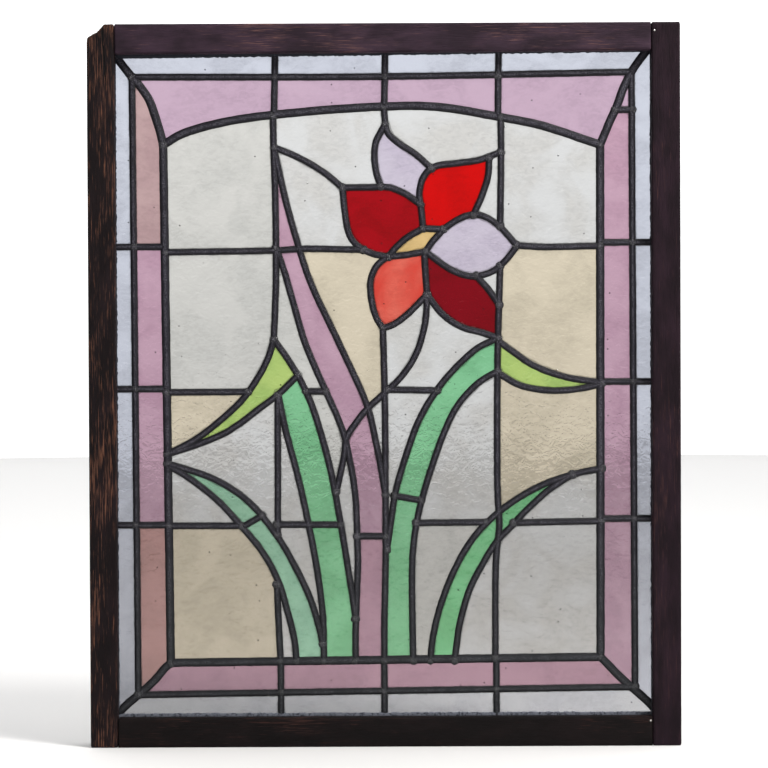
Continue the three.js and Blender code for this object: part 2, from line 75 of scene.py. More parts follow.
# The way into the opening from each corner, across and up
INWARD = {
    "bottom_left": (1, 1),
    "bottom_right": (-1, 1),
    "top_right": (-1, -1),
    "top_left": (1, -1),
}

# How far the leaf of the edge lead shows inside the opening, across and up, millimetres
EDGE_LEAD_SHOWS = {
    "bottom_left": (0.3, 2.6),
    "bottom_right": (0.3, 2.6),
    "top_right": (0.3, 0.2),
    "top_left": (0.3, 3.0),
}
CORNERS = list(SIGHT)

# Depths of the lead and the glass, millimetres from the middle of the frame's thickness
LEAD_FRONT = -5.0
LEAD_BACK = 0.5
GLASS_FRONT = -3.5
GLASS_BACK = -1.0

# How far the middle of a drop of solder is inside the lead, millimetres
SOLDER_SUNK = 1.0

# From the middle of a came to the glass that it holds, millimetres
HEART_TO_GLASS = 1.2

# Sizes of the facets in which the wood and the putty are made again, metres
WOOD_VOXEL = 0.0015
PUTTY_VOXEL = 0.0011

# Bright pins in the face of the frame, millimetres
PINS = ((255.6, 676.0), (250.6, 24.0))

# A rim follows a heart within this reach, and is moved no further than this, millimetres
HEART_REACH = 5
MOST_SHIFT = 3.5

# Cosines: the rim goes on nearly straight at a point, and a heart runs beside it
STRAIGHT = 0.9
ALONGSIDE = 0.5

# Steps along the rim of a pane, and the least gap between it and the first inner point, millimetres
RIM_STEP = 3.0
RIM_MARGIN = 0.9

# Cuts between border panes go this far past the ends of their cames, millimetres
PAST_EDGE = 12

# Points nearer than this are the same point, metres
SAME_POINT = 1e-6

# A distance from the rim at which no grime is left, metres
CLEAR_OF_RIM = 0.02

# A point of the break at the top left corner, metres, and the way it faces, in X and Z
BREAK_AT = (-0.280, 0.6712)
BREAK_WAY = (-0.61, 0.79)

# Lines of the thin cames in the field, millimetres
BARS = [
    [(-105, 598), (-104.5, 565), (-103.2, 520), (-103, 440), (-105.3, 386)],
    [(-101.8, 333), (-102.3, 210), (-102.6, 200)],
    [(-103.3, 153), (-102.5, 130), (-100.3, 80)],
    [(0.3, 606), (1.3, 590)],
    [(-1.5, 397), (0, 325), (0.3, 240), (0.1, 170), (-1.2, 120), (-1.5, 80)],
    [(111, 596), (111.3, 565), (110.2, 493)],
    [(110, 455), (107.4, 370), (106.9, 240), (108.4, 208), (105.3, 178), (104.2, 82)],
    [(-208, 469.3), (-103, 470.7), (-80, 472), (-20, 471)],
    [(125.5, 474.5), (150, 472.9), (205, 473.8)],
    [(-207.5, 336.3), (-130, 336.4)],
    [(-75, 336.7), (-56.5, 336.5)],
    [(3, 338), (50, 337)],
    [(-206, 209.2), (-137, 209)],
    [(-103, 210), (-42.5, 209.7)],
    [(29.5, 211), (96, 211.5)],
    [(122, 210.8), (205, 212.3)],
]
FLOWER = [
    [(1.3, 590), (-2.5, 583), (-7.5, 573), (-9, 560), (-7.5, 545), (-3, 531)],
    [(1.3, 590), (4, 581.5), (14, 572), (30, 561.5), (45, 548)],
    [(-39.5, 530), (-14, 530.2), (5, 530), (20, 524), (35, 513.5)],
    [(-39.5, 530), (-37, 505), (-33, 485), (-25.5, 475), (-12, 467.5), (4, 464)],
    [(4, 464.5), (11, 472.8), (22, 482.5), (37, 491)],
    [(37, 491), (35.5, 508), (33.5, 524), (37.5, 539.5), (47, 549), (70, 552.7), (90, 555.5), (111, 563)],
    [(100, 558), (98.8, 540), (93, 522), (85, 503.5)],
    [(37, 491), (56, 490)],
    [(3, 464.2), (20, 465.8), (39, 469)],
    [(39, 469), (46, 478.5), (56, 490)],
    [(56, 490), (70, 499.3), (84, 504), (97, 501.3), (110.7, 491.5), (126, 474)],
    [(126, 474), (116, 461), (103, 450), (84, 445.3), (65, 450.8), (39, 469)],
    [(3, 464.2), (-7, 456), (-12.5, 444), (-13, 428), (-8, 407), (-1.5, 396.5)],
    [(-1.5, 396.5), (8, 399.5), (20, 408), (40.5, 428)],
    [(38, 468.5), (39, 450), (40.5, 428)],
    [(40.5, 428), (55, 409.5), (74.5, 396.6), (92, 392), (108, 386.5)],
    [(87, 446), (98, 434), (109.2, 418)],
    [(-104, 568), (-99, 566.5), (-75, 555.5), (-55, 543), (-39.5, 530)],
]
STEMS = [
    [(40.5, 428), (38.5, 401), (30, 372), (16, 350.5), (0, 335), (-16, 320.5), (-28.5, 305.5),
     (-37, 291), (-38.5, 278), (-43, 256), (-46.5, 241)],
    [(-104, 567), (-95, 525), (-83, 480), (-70, 440), (-42.2, 380), (-16.5, 322), (-9, 290),
     (-3.5, 261), (0.3, 238)],
    [(-103.3, 473), (-98, 460), (-86.3, 420), (-75, 381), (-43.5, 308), (-37.6, 290),
     (-28.8, 241), (-27, 205), (-26.3, 175), (-28.7, 110), (-28.8, 80)],
    [(-27, 198.7), (0.3, 198.5)],
]
LEAVES = [
    [(-105.3, 386), (-110.5, 369), (-121, 349), (-134.5, 330), (-154.5, 311), (-180, 291.5), (-207, 277.5)],
    [(-82.5, 352), (-100.7, 334.5), (-119.8, 320), (-150, 298.5), (-180, 286), (-207, 277.5)],
    [(-101.5, 335), (-94.5, 300), (-84, 260), (-75, 220), (-67.3, 180), (-62.7, 150), (-59.5, 118),
     (-59.1, 80)],
    [(-105.3, 386), (-93.8, 370), (-81.5, 350), (-72, 330), (-61.8, 300), (-51.5, 260), (-42.3, 210),
     (-36, 170), (-31, 138), (-28.7, 120)],
    [(-207, 268.5), (-190, 263.5), (-160, 252.3), (-130, 232), (-103.5, 200), (-86, 170), (-72, 140),
     (-62.5, 108), (-60, 96)],
    [(-207, 267), (-190, 257), (-160, 233.8), (-136, 207.5), (-117, 184), (-102, 156), (-94.2, 130),
     (-87, 100), (-85, 80)],
    [(-136, 207.8), (-117, 218.8)],
    [(107.5, 386.5), (88.8, 377.5), (69.8, 361), (51.4, 340), (33, 310), (18.2, 270), (9.7, 240),
     (5, 210), (1.5, 186)],
    [(107.6, 355.5), (88.8, 344), (69.8, 323.5), (57.5, 300), (36.7, 240), (29.5, 210), (25.8, 180),
     (25.2, 150), (26, 80)],
    [(9, 237), (34, 232.5)],
    [(107.4, 384.5), (122, 373.5), (141, 360.7), (170, 349.8), (207, 343.5)],
    [(107.6, 353.5), (127, 342.3), (146, 337.6), (168, 336.5), (190, 339), (207, 343)],
    [(206, 262.3), (180, 257), (150, 247), (120, 230), (95, 209.5), (79, 190), (62.7, 160),
     (51.5, 130), (44.5, 100), (42.3, 80)],
    [(178, 256.8), (155, 241.5), (135, 223.5), (120, 207.5), (105, 192), (91.5, 170), (81, 150),
     (74.3, 130), (69.5, 110), (65.5, 80)],
]
FIELD_LINES = BARS + FLOWER + STEMS + LEAVES

# Sides of the outer lead rectangle, thin, and of the arched one inside it, heavy
OUTER_SIDES = [
    [(-235.8, 48.2), (237.2, 54)],
    [(237.2, 54), (235.2, 638.4)],
    [(-238.6, 635.4), (-1.7, 635), (235.2, 638.4)],
    [(-238.6, 635.4), (-235.8, 48.2)],
]
INNER_SIDES = [
    [(-204.8, 78.6), (204.5, 82.7)],
    [(204.5, 82.7), (205.3, 569.6)],
    [(-209.3, 571.2), (-190, 582), (-150, 592.8), (-100, 599.7), (0, 606.7), (50, 606.2),
     (110, 596.3), (150, 588), (205.3, 569.6)],
    [(-209.3, 571.2), (-204.8, 78.6)],
]
MITRES = [
    [(-256, 30), (-245, 40.7), (-235.8, 48.2), (-220, 62.5), (-210, 74), (-204.8, 78.6)],
    [(257, 31), (253.5, 35.5), (245, 44), (235.5, 52.5), (223.3, 63.3), (213, 73.8), (204.5, 82.7)],
    [(250.5, 659.5), (243, 650), (235.2, 638.4), (227, 622), (222, 608), (213, 588), (205.3, 569.6)],
    [(-256, 658), (-250, 650), (-238.6, 635.4), (-232, 628), (-222.5, 614), (-217.5, 600.5),
     (-213, 586), (-209.3, 571.2)],
]
BORDER_LINES = [
    [(-260, 210), (-206, 210)],
    [(-260, 339.5), (-207.3, 339.5)],
    [(-260, 474.5), (-208.5, 474.5)],
    [(204.7, 214.5), (258, 214.5)],
    [(205, 344.8), (258, 344.8)],
    [(205.2, 477), (258, 477)],
    [(-102.7, 662), (-104, 599.4)],
    [(1.7, 662), (0.5, 606.7)],
    [(109.3, 662), (108.3, 596.6)],
    [(-100, 80), (-100, 22)],
    [(-1.5, 80.6), (-1.5, 22)],
    [(105.2, 81.7), (105.2, 22)],
    [(219.4, 602.7), (236, 602.7)],
]

ALL_LINES = FIELD_LINES + OUTER_SIDES + INNER_SIDES + BORDER_LINES + MITRES

# Where the border cames cross the outer lead rectangle, millimetres
BORDER_JOINTS = [
    (-237.5, 210), (-237, 339.5), (-237.8, 474.5), (236.6, 214.5), (236.2, 344.8), (235.8, 477),
    (-103.2, 635.1), (1.2, 635), (108.8, 635.6), (-100, 49.9), (-1.5, 51.1), (105.2, 52.4),
]

# The part of the opening in which joints are soldered, two corners, millimetres
JOINTS_FROM = (-251, 32)
JOINTS_TO = (250.7, 654)

# Joints nearer than this are one, millimetres
JOINT_GAP = 6

# Sheets of glass: colour with white light behind it, the colour it varies to, the strength of its
# relief, and the share of painted shade that darkens it towards its foot
Sheet = namedtuple("Sheet", "tint other relief dirt")
GLASS = {
    "clear": Sheet((0.535, 0.54, 0.54), (0.485, 0.475, 0.455), 1.0, 0.33),
    "clear_warm": Sheet((0.505, 0.50, 0.478), (0.45, 0.45, 0.43), 1.0, 0.33),
    "tan": Sheet((0.55, 0.49, 0.38), (0.475, 0.425, 0.325), 1.0, 0.31),
    "yellow_green": Sheet((0.37, 0.49, 0.15), (0.28, 0.42, 0.12), 0.8, 0.0),
    "green": Sheet((0.19, 0.46, 0.25), (0.135, 0.37, 0.185), 1.0, 0.17),
    "deep_green": Sheet((0.15, 0.42, 0.20), (0.12, 0.35, 0.155), 1.0, 0.12),
    "pale_green": Sheet((0.24, 0.43, 0.3), (0.19, 0.36, 0.25), 1.0, 0.1),
    "pink": Sheet((0.43, 0.277, 0.353), (0.36, 0.215, 0.29), 0.8, 0.26),
    "light_pink": Sheet((0.43, 0.31, 0.395), (0.395, 0.28, 0.365), 0.8, 0.2),
    "deep_pink": Sheet((0.37, 0.22, 0.28), (0.33, 0.19, 0.25), 0.8, 0.2),
    "rose": Sheet((0.37, 0.21, 0.2), (0.32, 0.18, 0.17), 0.8, 0.2),
    "salmon": Sheet((0.4, 0.278, 0.278), (0.336, 0.22, 0.23), 0.8, 0.16),
    "lilac": Sheet((0.46, 0.42, 0.495), (0.42, 0.375, 0.46), 1.1, 0.0),
    "dark_red": Sheet((0.29, 0.0, 0.004), (0.22, 0.0, 0.002), 0.6, 0.0),
    "deep_red": Sheet((0.175, 0.0, 0.005), (0.15, 0.0, 0.003), 0.6, 0.0),
    "red": Sheet((0.5, 0.0, 0.0), (0.42, 0.0, 0.0), 0.6, 0.0),
    "orange": Sheet((0.53, 0.048, 0.033), (0.64, 0.14, 0.1), 0.6, 0.0),
    "yellow": Sheet((0.56, 0.4, 0.18), (0.47, 0.325, 0.13), 0.8, 0.0),
    "blue_grey": Sheet((0.455, 0.475, 0.54), (0.38, 0.396, 0.45), 0.8, 0.31),
    "grey": Sheet((0.41, 0.415, 0.43), (0.37, 0.375, 0.405), 1.2, 0.08),
}

# Panes that were cut from another sheet than their finish says
OTHER_SHEETS = {
    "left_clear_1": "clear_warm",
    "left_clear_2": "clear_warm",
    "middle_clear_3": "clear_warm",
    "middle_clear_5": "clear_warm",
    "centre_clear_8": "clear_warm",
    "petal_lower_dark_red": "deep_red",
    "stem_pink_4": "deep_pink",
    "leaf_low_right_tip": "deep_green",
    "leaf_low_right_base": "deep_green",
}


# Node trees


class Wire:
    """One output of a node, on which sums can be written."""

    def __init__(self, tree, socket):
        self.tree = tree
        self.socket = socket

    def _maths(self, operation, a, b=0.0):
        return self.tree.add("ShaderNodeMath", {"operation": operation}, {0: a, 1: b})

    def __add__(self, other):
        return self._maths("ADD", self, other)

    def __radd__(self, other):
        return self._maths("ADD", other, self)

    def __sub__(self, other):
        return self._maths("SUBTRACT", self, other)

    def __rsub__(self, other):
        return self._maths("SUBTRACT", other, self)

    def __mul__(self, other):
        return self._maths("MULTIPLY", self, other)

    def __rmul__(self, other):
        return self._maths("MULTIPLY", other, self)

    def __truediv__(self, other):
        return self._maths("DIVIDE", self, other)

    def __abs__(self):
        return self._maths("ABSOLUTE", self)

    def smooth(self, low, high):
        """Rises smoothly from 0 at low to 1 at high, or falls where high is the lower."""
        settings = {"interpolation_type": "SMOOTHSTEP"}
        if low < high:
            inputs = {0: self, 1: low, 2: high, 3: 0.0, 4: 1.0}
        else:
            inputs = {0: self, 1: high, 2: low, 3: 1.0, 4: 0.0}
        return self.tree.add("ShaderNodeMapRange", settings, inputs)


class Tree:
    """A node tree, to which one method adds any node."""

    def __init__(self, nodes_in):
        self.nodes = nodes_in.nodes
        self.links = nodes_in.links

    def add(self, kind, settings=None, inputs=None, output=0):
        node = self.nodes.new(kind)
        for name, value in (settings or {}).items():
            setattr(node, name, value)
        for key, value in (inputs or {}).items():
            socket = node.inputs[key]
            for one in value if isinstance(value, list) else [value]:
                if isinstance(one, Wire):
                    self.links.new(one.socket, socket)
                else:
                    socket.default_value = one
        return Wire(self, node.outputs[output]) if len(node.outputs) else None

    def mix(self, share, a, b):
        return self.add("ShaderNodeMix", {"data_type": "RGBA"}, {0: share, 6: a, 7: b}, output=2)


class Finish(Tree):
    """A material under construction. Its patterns read Object coordinates."""

    def __init__(self, name):
        self.material = bpy.data.materials.new(name)
        self.material.use_nodes = True
        super().__init__(self.material.node_tree)
        self.nodes.clear()
        self.place = self.add("ShaderNodeTexCoord", output="Object")
        split = self.add("ShaderNodeSeparateXYZ", inputs={0: self.place})
        outputs = split.socket.node.outputs
        self.x, self.y, self.z = (Wire(self, outputs[i]) for i in range(3))

    def stretched(self, scale, move=(0.0, 0.0, 0.0)):
        return self.add("ShaderNodeMapping", inputs={0: self.place, 1: move, 3: tuple(scale)})

    def noise(self, where, scale, detail=2.0, roughness=0.5, distortion=0.0):
        return self.add("ShaderNodeTexNoise", inputs={
            "Vector": where, "Scale": scale, "Detail": detail, "Roughness": roughness,
            "Distortion": distortion,
        })

    def bump(self, height, distance):
        return self.add("ShaderNodeBump", inputs={"Strength": 1.0, "Distance": distance, "Height": height})

    def surface(self, **sockets):
        """Ends the tree in a Principled shader with these sockets."""
        inputs = {name.replace("_", " "): value for name, value in sockets.items()}
        shader = self.add("ShaderNodeBsdfPrincipled", inputs=inputs)
        self.add("ShaderNodeOutputMaterial", inputs={0: shader})
        return self.material


def colour(red, green, blue):
    return (red, green, blue, 1.0)


def shade_of(tone, share):
    """A colour made darker or lighter."""
    return colour(*(part * share for part in tone[:3]))


# Materials


def stained_wood(name, along, dark, pale, wear, extra=None):
    """Dark stained wood, scuffed to paler fibres. along is 0 for grain along X, 2 along Z."""
    finish = Finish(name)
    thin, long_stain = [1.0, 1.0, 1.0], [1.0, 1.0, 1.0]
    thin[along] = 0.032
    long_stain[along] = 0.35
    fibre = finish.noise(finish.stretched(thin), 1400.0, 3.0, 0.6, 0.25)
    pores = finish.noise(finish.stretched(thin, move=(3.0, 1.0, 2.0)), 1900.0, 3.0, 0.6)
    stain = finish.noise(finish.stretched(long_stain, move=(0.0, 5.0, 0.0)), 55.0, 4.0, 0.6)
    patch = finish.noise(finish.stretched(long_stain, move=(2.0, 0.0, 4.0)), 24.0, 3.0, 0.55)
    more = wear * 0.065
    scuff = (fibre * 0.7 + stain * 0.25 + patch * 0.35).smooth(0.745 - more, 0.862 - more)
    tone = finish.mix(stain.smooth(0.35, 0.7), dark, shade_of(dark, 2.2))
    tone = finish.mix(scuff, tone, pale)
    height = fibre * 0.6 + pores.smooth(0.35, 0.6) * 0.35 - scuff * 0.25
    rough = fibre * 0.2 + 0.6
    if extra:
        tone, height, rough = extra(finish, tone, height, rough, fibre)
    normal = finish.bump(height, 0.0006)
    return finish.surface(Base_Color=tone, Roughness=rough, Normal=normal, Specular_IOR_Level=0.14)


def broken_corner(finish, tone, height, rough, fibre):
    """Bare wood where the corner broke off, and the split that runs down from it, coloured near black as
    painted shade in the crack.
    """
    outside = (finish.x - BREAK_AT[0]) * BREAK_WAY[0] + (finish.z - BREAK_AT[1]) * BREAK_WAY[1]
    bare = (outside + fibre * 0.0016).smooth(-0.0030, -0.0012)
    inside_face = bare * finish.y.smooth(-0.0168, -0.0155)
    fresh = finish.mix(fibre.smooth(0.3, 0.7), colour(0.016, 0.008, 0.006), colour(0.075, 0.035, 0.023))
    tone = finish.mix(bare, tone, fresh)
    wander = finish.noise(finish.stretched((1.0, 1.0, 1.0)), 120.0, 3.0)
    line = finish.x + 0.2638 + (finish.z - 0.655) * 0.061 + (wander - 0.5) * 0.003
    # Painted shade: the split is coloured near black for the shade inside it
    split = abs(line).smooth(0.0008, 0.0002) * finish.z.smooth(0.622, 0.632)
    tone = finish.mix(split, tone, colour(0.001, 0.001, 0.001))
    return tone, height - split * 1.6 + inside_face * fibre * 2.0, rough + bare * 0.2


def frame_wood():
    """The finishes of the frame, one for each member."""
    return {
        "left_stile": stained_wood("worn_left_stile_wood", 2, colour(0.0058, 0.0031, 0.0037),
                                   colour(0.165, 0.070, 0.041), 1.0, broken_corner),
        "right_stile": stained_wood("right_stile_wood", 2, colour(0.009, 0.0040, 0.0068),
                                    colour(0.06, 0.026, 0.024), 0.3),
        "top_rail": stained_wood("top_rail_wood", 0, colour(0.021, 0.0115, 0.0185),
                                 colour(0.125, 0.062, 0.058), 0.6),
        "bottom_rail": stained_wood("bottom_rail_wood", 0, colour(0.0032, 0.0017, 0.0018),
                                    colour(0.045, 0.018, 0.014), 0.35),
    }


def lead_finish(name, shine):
    """Old lead: grey on its crown and black on its flanks by the way each point faces, partly worn lead and
    cement at its edges, partly painted sheen on the crown and painted shade on the flanks; a painted
    highlight along the middle of the crown, and greener low down.
    """
    finish = Finish(name)
    crown = finish.add("ShaderNodeAttribute", {"attribute_name": "crown"}, output="Fac")
    patches = finish.noise(finish.place, 110.0, 5.0, 0.62)
    fine = finish.noise(finish.place, 800.0, 4.0, 0.6)
    # Partly worn lead and cement, partly painted light: lighter where the lead faces forward (painted
    # sheen), black on the flanks (painted shade)
    crown_rub_and_sheen = (crown + (patches - 0.5) * 0.12).smooth(0.86, 1.0)
    tone = finish.mix(crown_rub_and_sheen, colour(0.003, 0.0027, 0.005), colour(0.0135, 0.0122, 0.0185))
    # Painted highlight: a lighter line along the middle of the crown, in patches
    painted_ridge_highlight = (crown + (patches - 0.5) * 0.06).smooth(0.98, 1.0) * fine.smooth(0.42, 0.60)
    tone = finish.mix(painted_ridge_highlight * 0.9, tone, colour(0.082, 0.078, 0.098))
    low = finish.z.smooth(0.30, 0.06) * 0.4
    tone = finish.mix(low * crown_rub_and_sheen, tone, colour(0.022, 0.028, 0.024))
    rough = 0.31 - shine * 0.1 + fine * 0.2
    normal = finish.bump(fine * (0.8 + shine) + patches, 0.0009)
    return finish.surface(
        Base_Color=tone, Roughness=rough, Normal=normal, Specular_IOR_Level=0.22 + shine * 0.3)


def edge_lead_finish():
    """The lead in the shadow of the frame: blue-black, and dusty blue-grey along the sill."""
    finish = Finish("edge_lead")
    crumbs = finish.noise(finish.place, 520.0, 5.0, 0.65)
    dust = finish.z.smooth(0.05, 0.033) * crumbs.smooth(0.34, 0.56)
    tone = finish.mix(dust, colour(0.010, 0.012, 0.020), colour(0.13, 0.14, 0.17))
    normal = finish.bump(crumbs, 0.0008)
    return finish.surface(Base_Color=tone, Roughness=0.7, Normal=normal, Specular_IOR_Level=0.3)


def putty_finish():
    """Hard grey putty, cracked and grimy, with painted shade in its cracks."""
    finish = Finish("old_putty")
    lumps = finish.noise(finish.place, 160.0, 6.0, 0.65)
    cells = finish.add("ShaderNodeTexVoronoi", {"feature": "DISTANCE_TO_EDGE"},
                       {"Vector": finish.place, "Scale": 45.0})
    # Painted shade: the cracks are coloured near black for the shade inside them
    crack = cells.smooth(0.035, 0.0)
    tone = finish.mix(lumps.smooth(0.3, 0.7), colour(0.03, 0.031, 0.034), colour(0.12, 0.12, 0.12))
    tone = finish.mix(crack * 0.8, tone, colour(0.008, 0.008, 0.009))
    normal = finish.bump(lumps - crack, 0.0008)
    return finish.surface(Base_Color=tone, Roughness=0.85, Normal=normal, Specular_IOR_Level=0.2)


def pin_finish():
    finish = Finish("bright_pin")
    fine = finish.noise(finish.place, 900.0, 3.0)
    normal = finish.bump(fine, 0.0001)
    return finish.surface(
        Base_Color=colour(0.75, 0.73, 0.7), Metallic=1.0, Roughness=fine * 0.3 + 0.2, Normal=normal)


def glass_finish(name, tint, other, relief, dirt):
    """Rolled glass: tinted through, grimy by the lead, with a few seeds and a rippled face. Painted shade
    darkens it towards its foot, and painted shade along the ripple's crests and in fine flecks stands for
    the light and shade that the rippled face throws.
    """
    finish = Finish(name)
    cloud = finish.noise(finish.place, 22.0, 3.0, 0.5, 0.6)
    ripple = finish.noise(finish.stretched((1.0, 1.0, 1.15)), 135.0, 2.0, 0.5, 0.7)
    crests = finish.noise(finish.stretched((1.0, 1.0, 1.9)), 125.0, 2.0, 0.5, 0.9)
    tone = finish.mix(cloud.smooth(0.35, 0.68) * 0.8, tint, other)
    # Painted shade along the ripple's crests, standing for the light and shade that the rippled face throws
    # by refraction
    painted_ripple_shade = crests.smooth(0.46, 0.58) * cloud.smooth(0.38, 0.56)
    tone = finish.mix(painted_ripple_shade * 0.14, tone, shade_of(tint, 0.5))
    # Painted shade in fine flecks, standing for the flecks of light and shade that the hammered face throws
    flecks = finish.noise(finish.stretched((1.0, 1.0, 1.7)), 310.0, 2.0, 0.5, 0.8)
    painted_fleck_shade = flecks.smooth(0.58, 0.68) * cloud.smooth(0.42, 0.60)
    tone = finish.mix(painted_fleck_shade * 0.14, tone, shade_of(tint, 0.45))
    # Painted shade: the glass darkens towards its foot by the sheet's share, standing for the darker view
    # through it low down
    foot = finish.z.smooth(0.36, 0.13) * dirt
    tone = finish.mix(foot, tone, colour(0.06, 0.05, 0.035))
    rim = finish.add("ShaderNodeAttribute", {"attribute_name": "rim"}, output="Fac")
    edge = rim + (ripple - 0.5) * 0.0016
    grime = edge.smooth(0.0060, 0.0020) * 0.15 + edge.smooth(0.0031, 0.0019) * 0.75
    tone = finish.mix(grime, tone, shade_of(tint, 0.12))
    face = finish.add("ShaderNodeCombineXYZ", inputs={0: finish.x, 1: finish.z, 2: 0.0})
    spots = {"Vector": face, "Scale": 42.0}
    seeds = finish.add("ShaderNodeTexVoronoi", {"voronoi_dimensions": "2D"}, spots)
    rare = finish.add("ShaderNodeTexVoronoi", {"voronoi_dimensions": "2D"}, spots, output="Color")
    chosen = finish.add("ShaderNodeSeparateColor", inputs={0: rare}).smooth(0.78, 0.80)
    seed = (seeds + (cloud - 0.5) * 0.03).smooth(0.034, 0.016) * chosen
    tone = finish.mix(seed * 0.85, tone, shade_of(tint, 0.12))
    normal = finish.bump(ripple + seed * 0.4, 0.00045 * relief)
    return finish.surface(
        Base_Color=tone, Roughness=0.05, IOR=1.46, Transmission_Weight=1.0, Normal=normal)


@functools.cache
def glass(kind):
    sheet = GLASS[kind]
    tint, other = colour(*sheet.tint), colour(*sheet.other)
    return glass_finish(f"{kind}_glass", tint, other, sheet.relief, sheet.dirt)


# Shapes shared by the pieces


def smooth_line(points, step=1.5):
    """A smooth line through the points, in steps of about one length, millimetres."""
    through = [np.array(point, float) for point in points]
    if len(through) == 2:
        return [tuple(point) for point in through]
    through = [2 * through[0] - through[1]] + through + [2 * through[-1] - through[-2]]
    line = [tuple(through[1])]
    for before, start, end, after in zip(through, through[1:], through[2:], through[3:]):
        knots = [0.0]
        for a, b in ((before, start), (start, end), (end, after)):
            knots.append(knots[-1] + math.sqrt(np.linalg.norm(b - a)))
        count = max(2, math.ceil(np.linalg.norm(end - start) / step))
        for i in range(1, count + 1):
            t = knots[1] + (knots[2] - knots[1]) * i / count
            line.append(tuple(spline_point((before, start, end, after), knots, t)))
    return line


def spline_point(points, knots, t):
    """The point at t on a centripetal spline through the two middle points."""
    def between(a, b, start, end):
        return (a * (knots[end] - t) + b * (t - knots[start])) / (knots[end] - knots[start])

    first, second, third = (between(points[i], points[i + 1], i, i + 1) for i in range(3))
    return between(between(first, second, 0, 2), between(second, third, 1, 3), 1, 2)


def ribbon(line, width):
    """The outline of a strip along a line."""
    points = [np.array(point, float) for point in line]
    left, right = [], []
    for i, point in enumerate(points):
        before = points[max(i, 1)] - points[max(i, 1) - 1]
        after = points[min(i, len(points) - 2) + 1] - points[min(i, len(points) - 2)]
        along = before / np.linalg.norm(before) + after / np.linalg.norm(after)
        along /= np.linalg.norm(along)
        across = np.array([-along[1], along[0]]) * width / 2
        left.append(tuple(point + across))
        right.insert(0, tuple(point - across))
    return left + right


def mesh_object(name, vertices, faces, material=None):
    mesh = bpy.data.meshes.new(name)
    mesh.from_pydata([tuple(v) for v in vertices], [], faces)
    mesh.validate()
    piece = bpy.data.objects.new(name, mesh)
    bpy.context.scene.collection.objects.link(piece)
    if material:
        mesh.materials.append(material)
    return piece


def outward(piece, merge=True):
    """Faces turned outward, after doubles are merged."""
    work = bmesh.new()
    work.from_mesh(piece.data)
    if merge:
        bmesh.ops.remove_doubles(work, verts=work.verts, dist=SAME_POINT)
    bmesh.ops.recalc_face_normals(work, faces=work.faces)
    work.to_mesh(piece.data)
    work.free()
    return piece


def made_plain(piece, material, name):
    """The piece with its modifiers worked out, as a plain mesh at the origin."""
    graph = bpy.context.evaluated_depsgraph_get()
    mesh = bpy.data.meshes.new_from_object(piece.evaluated_get(graph), depsgraph=graph)
    mesh.name = name
    bpy.data.objects.remove(piece)
    plain = bpy.data.objects.new(name, mesh)
    bpy.context.scene.collection.objects.link(plain)
    mesh.materials.clear()
    mesh.materials.append(material)
    return plain


def cad_copy(node, name):
    """A copy of a CAD node's mesh with its doubles merged."""
    mesh = frame["nodes"][node].data.copy()
    work = bmesh.new()
    work.from_mesh(mesh)
    bmesh.ops.remove_doubles(work, verts=work.verts, dist=SAME_POINT)
    work.to_mesh(mesh)
    work.free()
    mesh.materials.clear()
    piece = bpy.data.objects.new(name, mesh)
    bpy.context.scene.collection.objects.link(piece)
    return piece


def softened(piece, voxel, material, name):
    """The piece made again in small facets, which rounds its edges a little."""
    soft = piece.modifiers.new("soft", "REMESH")
    soft.mode = "VOXEL"
    soft.voxel_size = voxel
    return made_plain(piece, material, name)


def points_of(mesh):
    flat = np.empty(len(mesh.vertices) * 3, np.float32)
    mesh.vertices.foreach_get("co", flat)
    return flat.reshape(-1, 3).astype(float)


def set_points(mesh, points):
    mesh.vertices.foreach_set("co", np.asarray(points, np.float32).ravel())
    mesh.update()


def normals_of(mesh):
    flat = np.empty(len(mesh.vertices) * 3, np.float32)
    mesh.vertex_normals.foreach_get("vector", flat)
    return flat.reshape(-1, 3).astype(float)


def shade_smooth(piece):
    piece.data.shade_smooth()
    return piece


def with_crown(piece):
    """Notes on a piece of lead how squarely each point faces forward or back; its finish paints sheen on
    the crown and shade on the flanks from this.
    """
    facing = np.abs(normals_of(piece.data)[:, 1])
    crown = piece.data.attributes.new("crown", "FLOAT", "POINT")
    crown.data.foreach_set("value", facing.astype(np.float32))
    return piece


def settle(piece, slot, *nodes):
    """Hangs the piece on the root body and hides the CAD parts that it stands for. Its slot, the finish, is
    not used.
    """
    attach(piece, "root")
    if nodes:
        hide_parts(*nodes)
    return piece


# Lead


def new_tree(name, sizes):
    """A node group with these sizes as inputs, the tree to build in, and a wire from each input."""
    group = bpy.data.node_groups.new(name, "GeometryNodeTree")
    group.interface.new_socket("Geometry", in_out="OUTPUT", socket_type="NodeSocketGeometry")
    group.interface.new_socket("Geometry", in_out="INPUT", socket_type="NodeSocketGeometry")
    for size, default in sizes.items():
        kind = "NodeSocketInt" if isinstance(default, int) else "NodeSocketFloat"
        socket = group.interface.new_socket(size, in_out="INPUT", socket_type=kind)
        socket.default_value = default
    group.interface.new_socket("Material", in_out="INPUT", socket_type="NodeSocketMaterial")
    tree = Tree(group)
    given = group.nodes.new("NodeGroupInput").outputs
    return group, tree, {socket.name: Wire(tree, socket) for socket in given if socket.name}


def uneven(tree, shape, scale, detail, amount):
    """The shape with its points moved a little, each in its own direction."""
    noise_inputs = {"Vector": tree.add("GeometryNodeInputPosition"), "Scale": scale, "Detail": detail}
    waves = tree.add("ShaderNodeTexNoise", inputs=noise_inputs, output="Color")
    centred = tree.add("ShaderNodeVectorMath", {"operation": "SUBTRACT"}, {0: waves, 1: (0.5, 0.5, 0.5)})
    shift = tree.add("ShaderNodeVectorMath", {"operation": "SCALE"}, {0: centred, "Scale": amount})
    return tree.add("GeometryNodeSetPosition", inputs={"Geometry": shape, "Offset": shift})


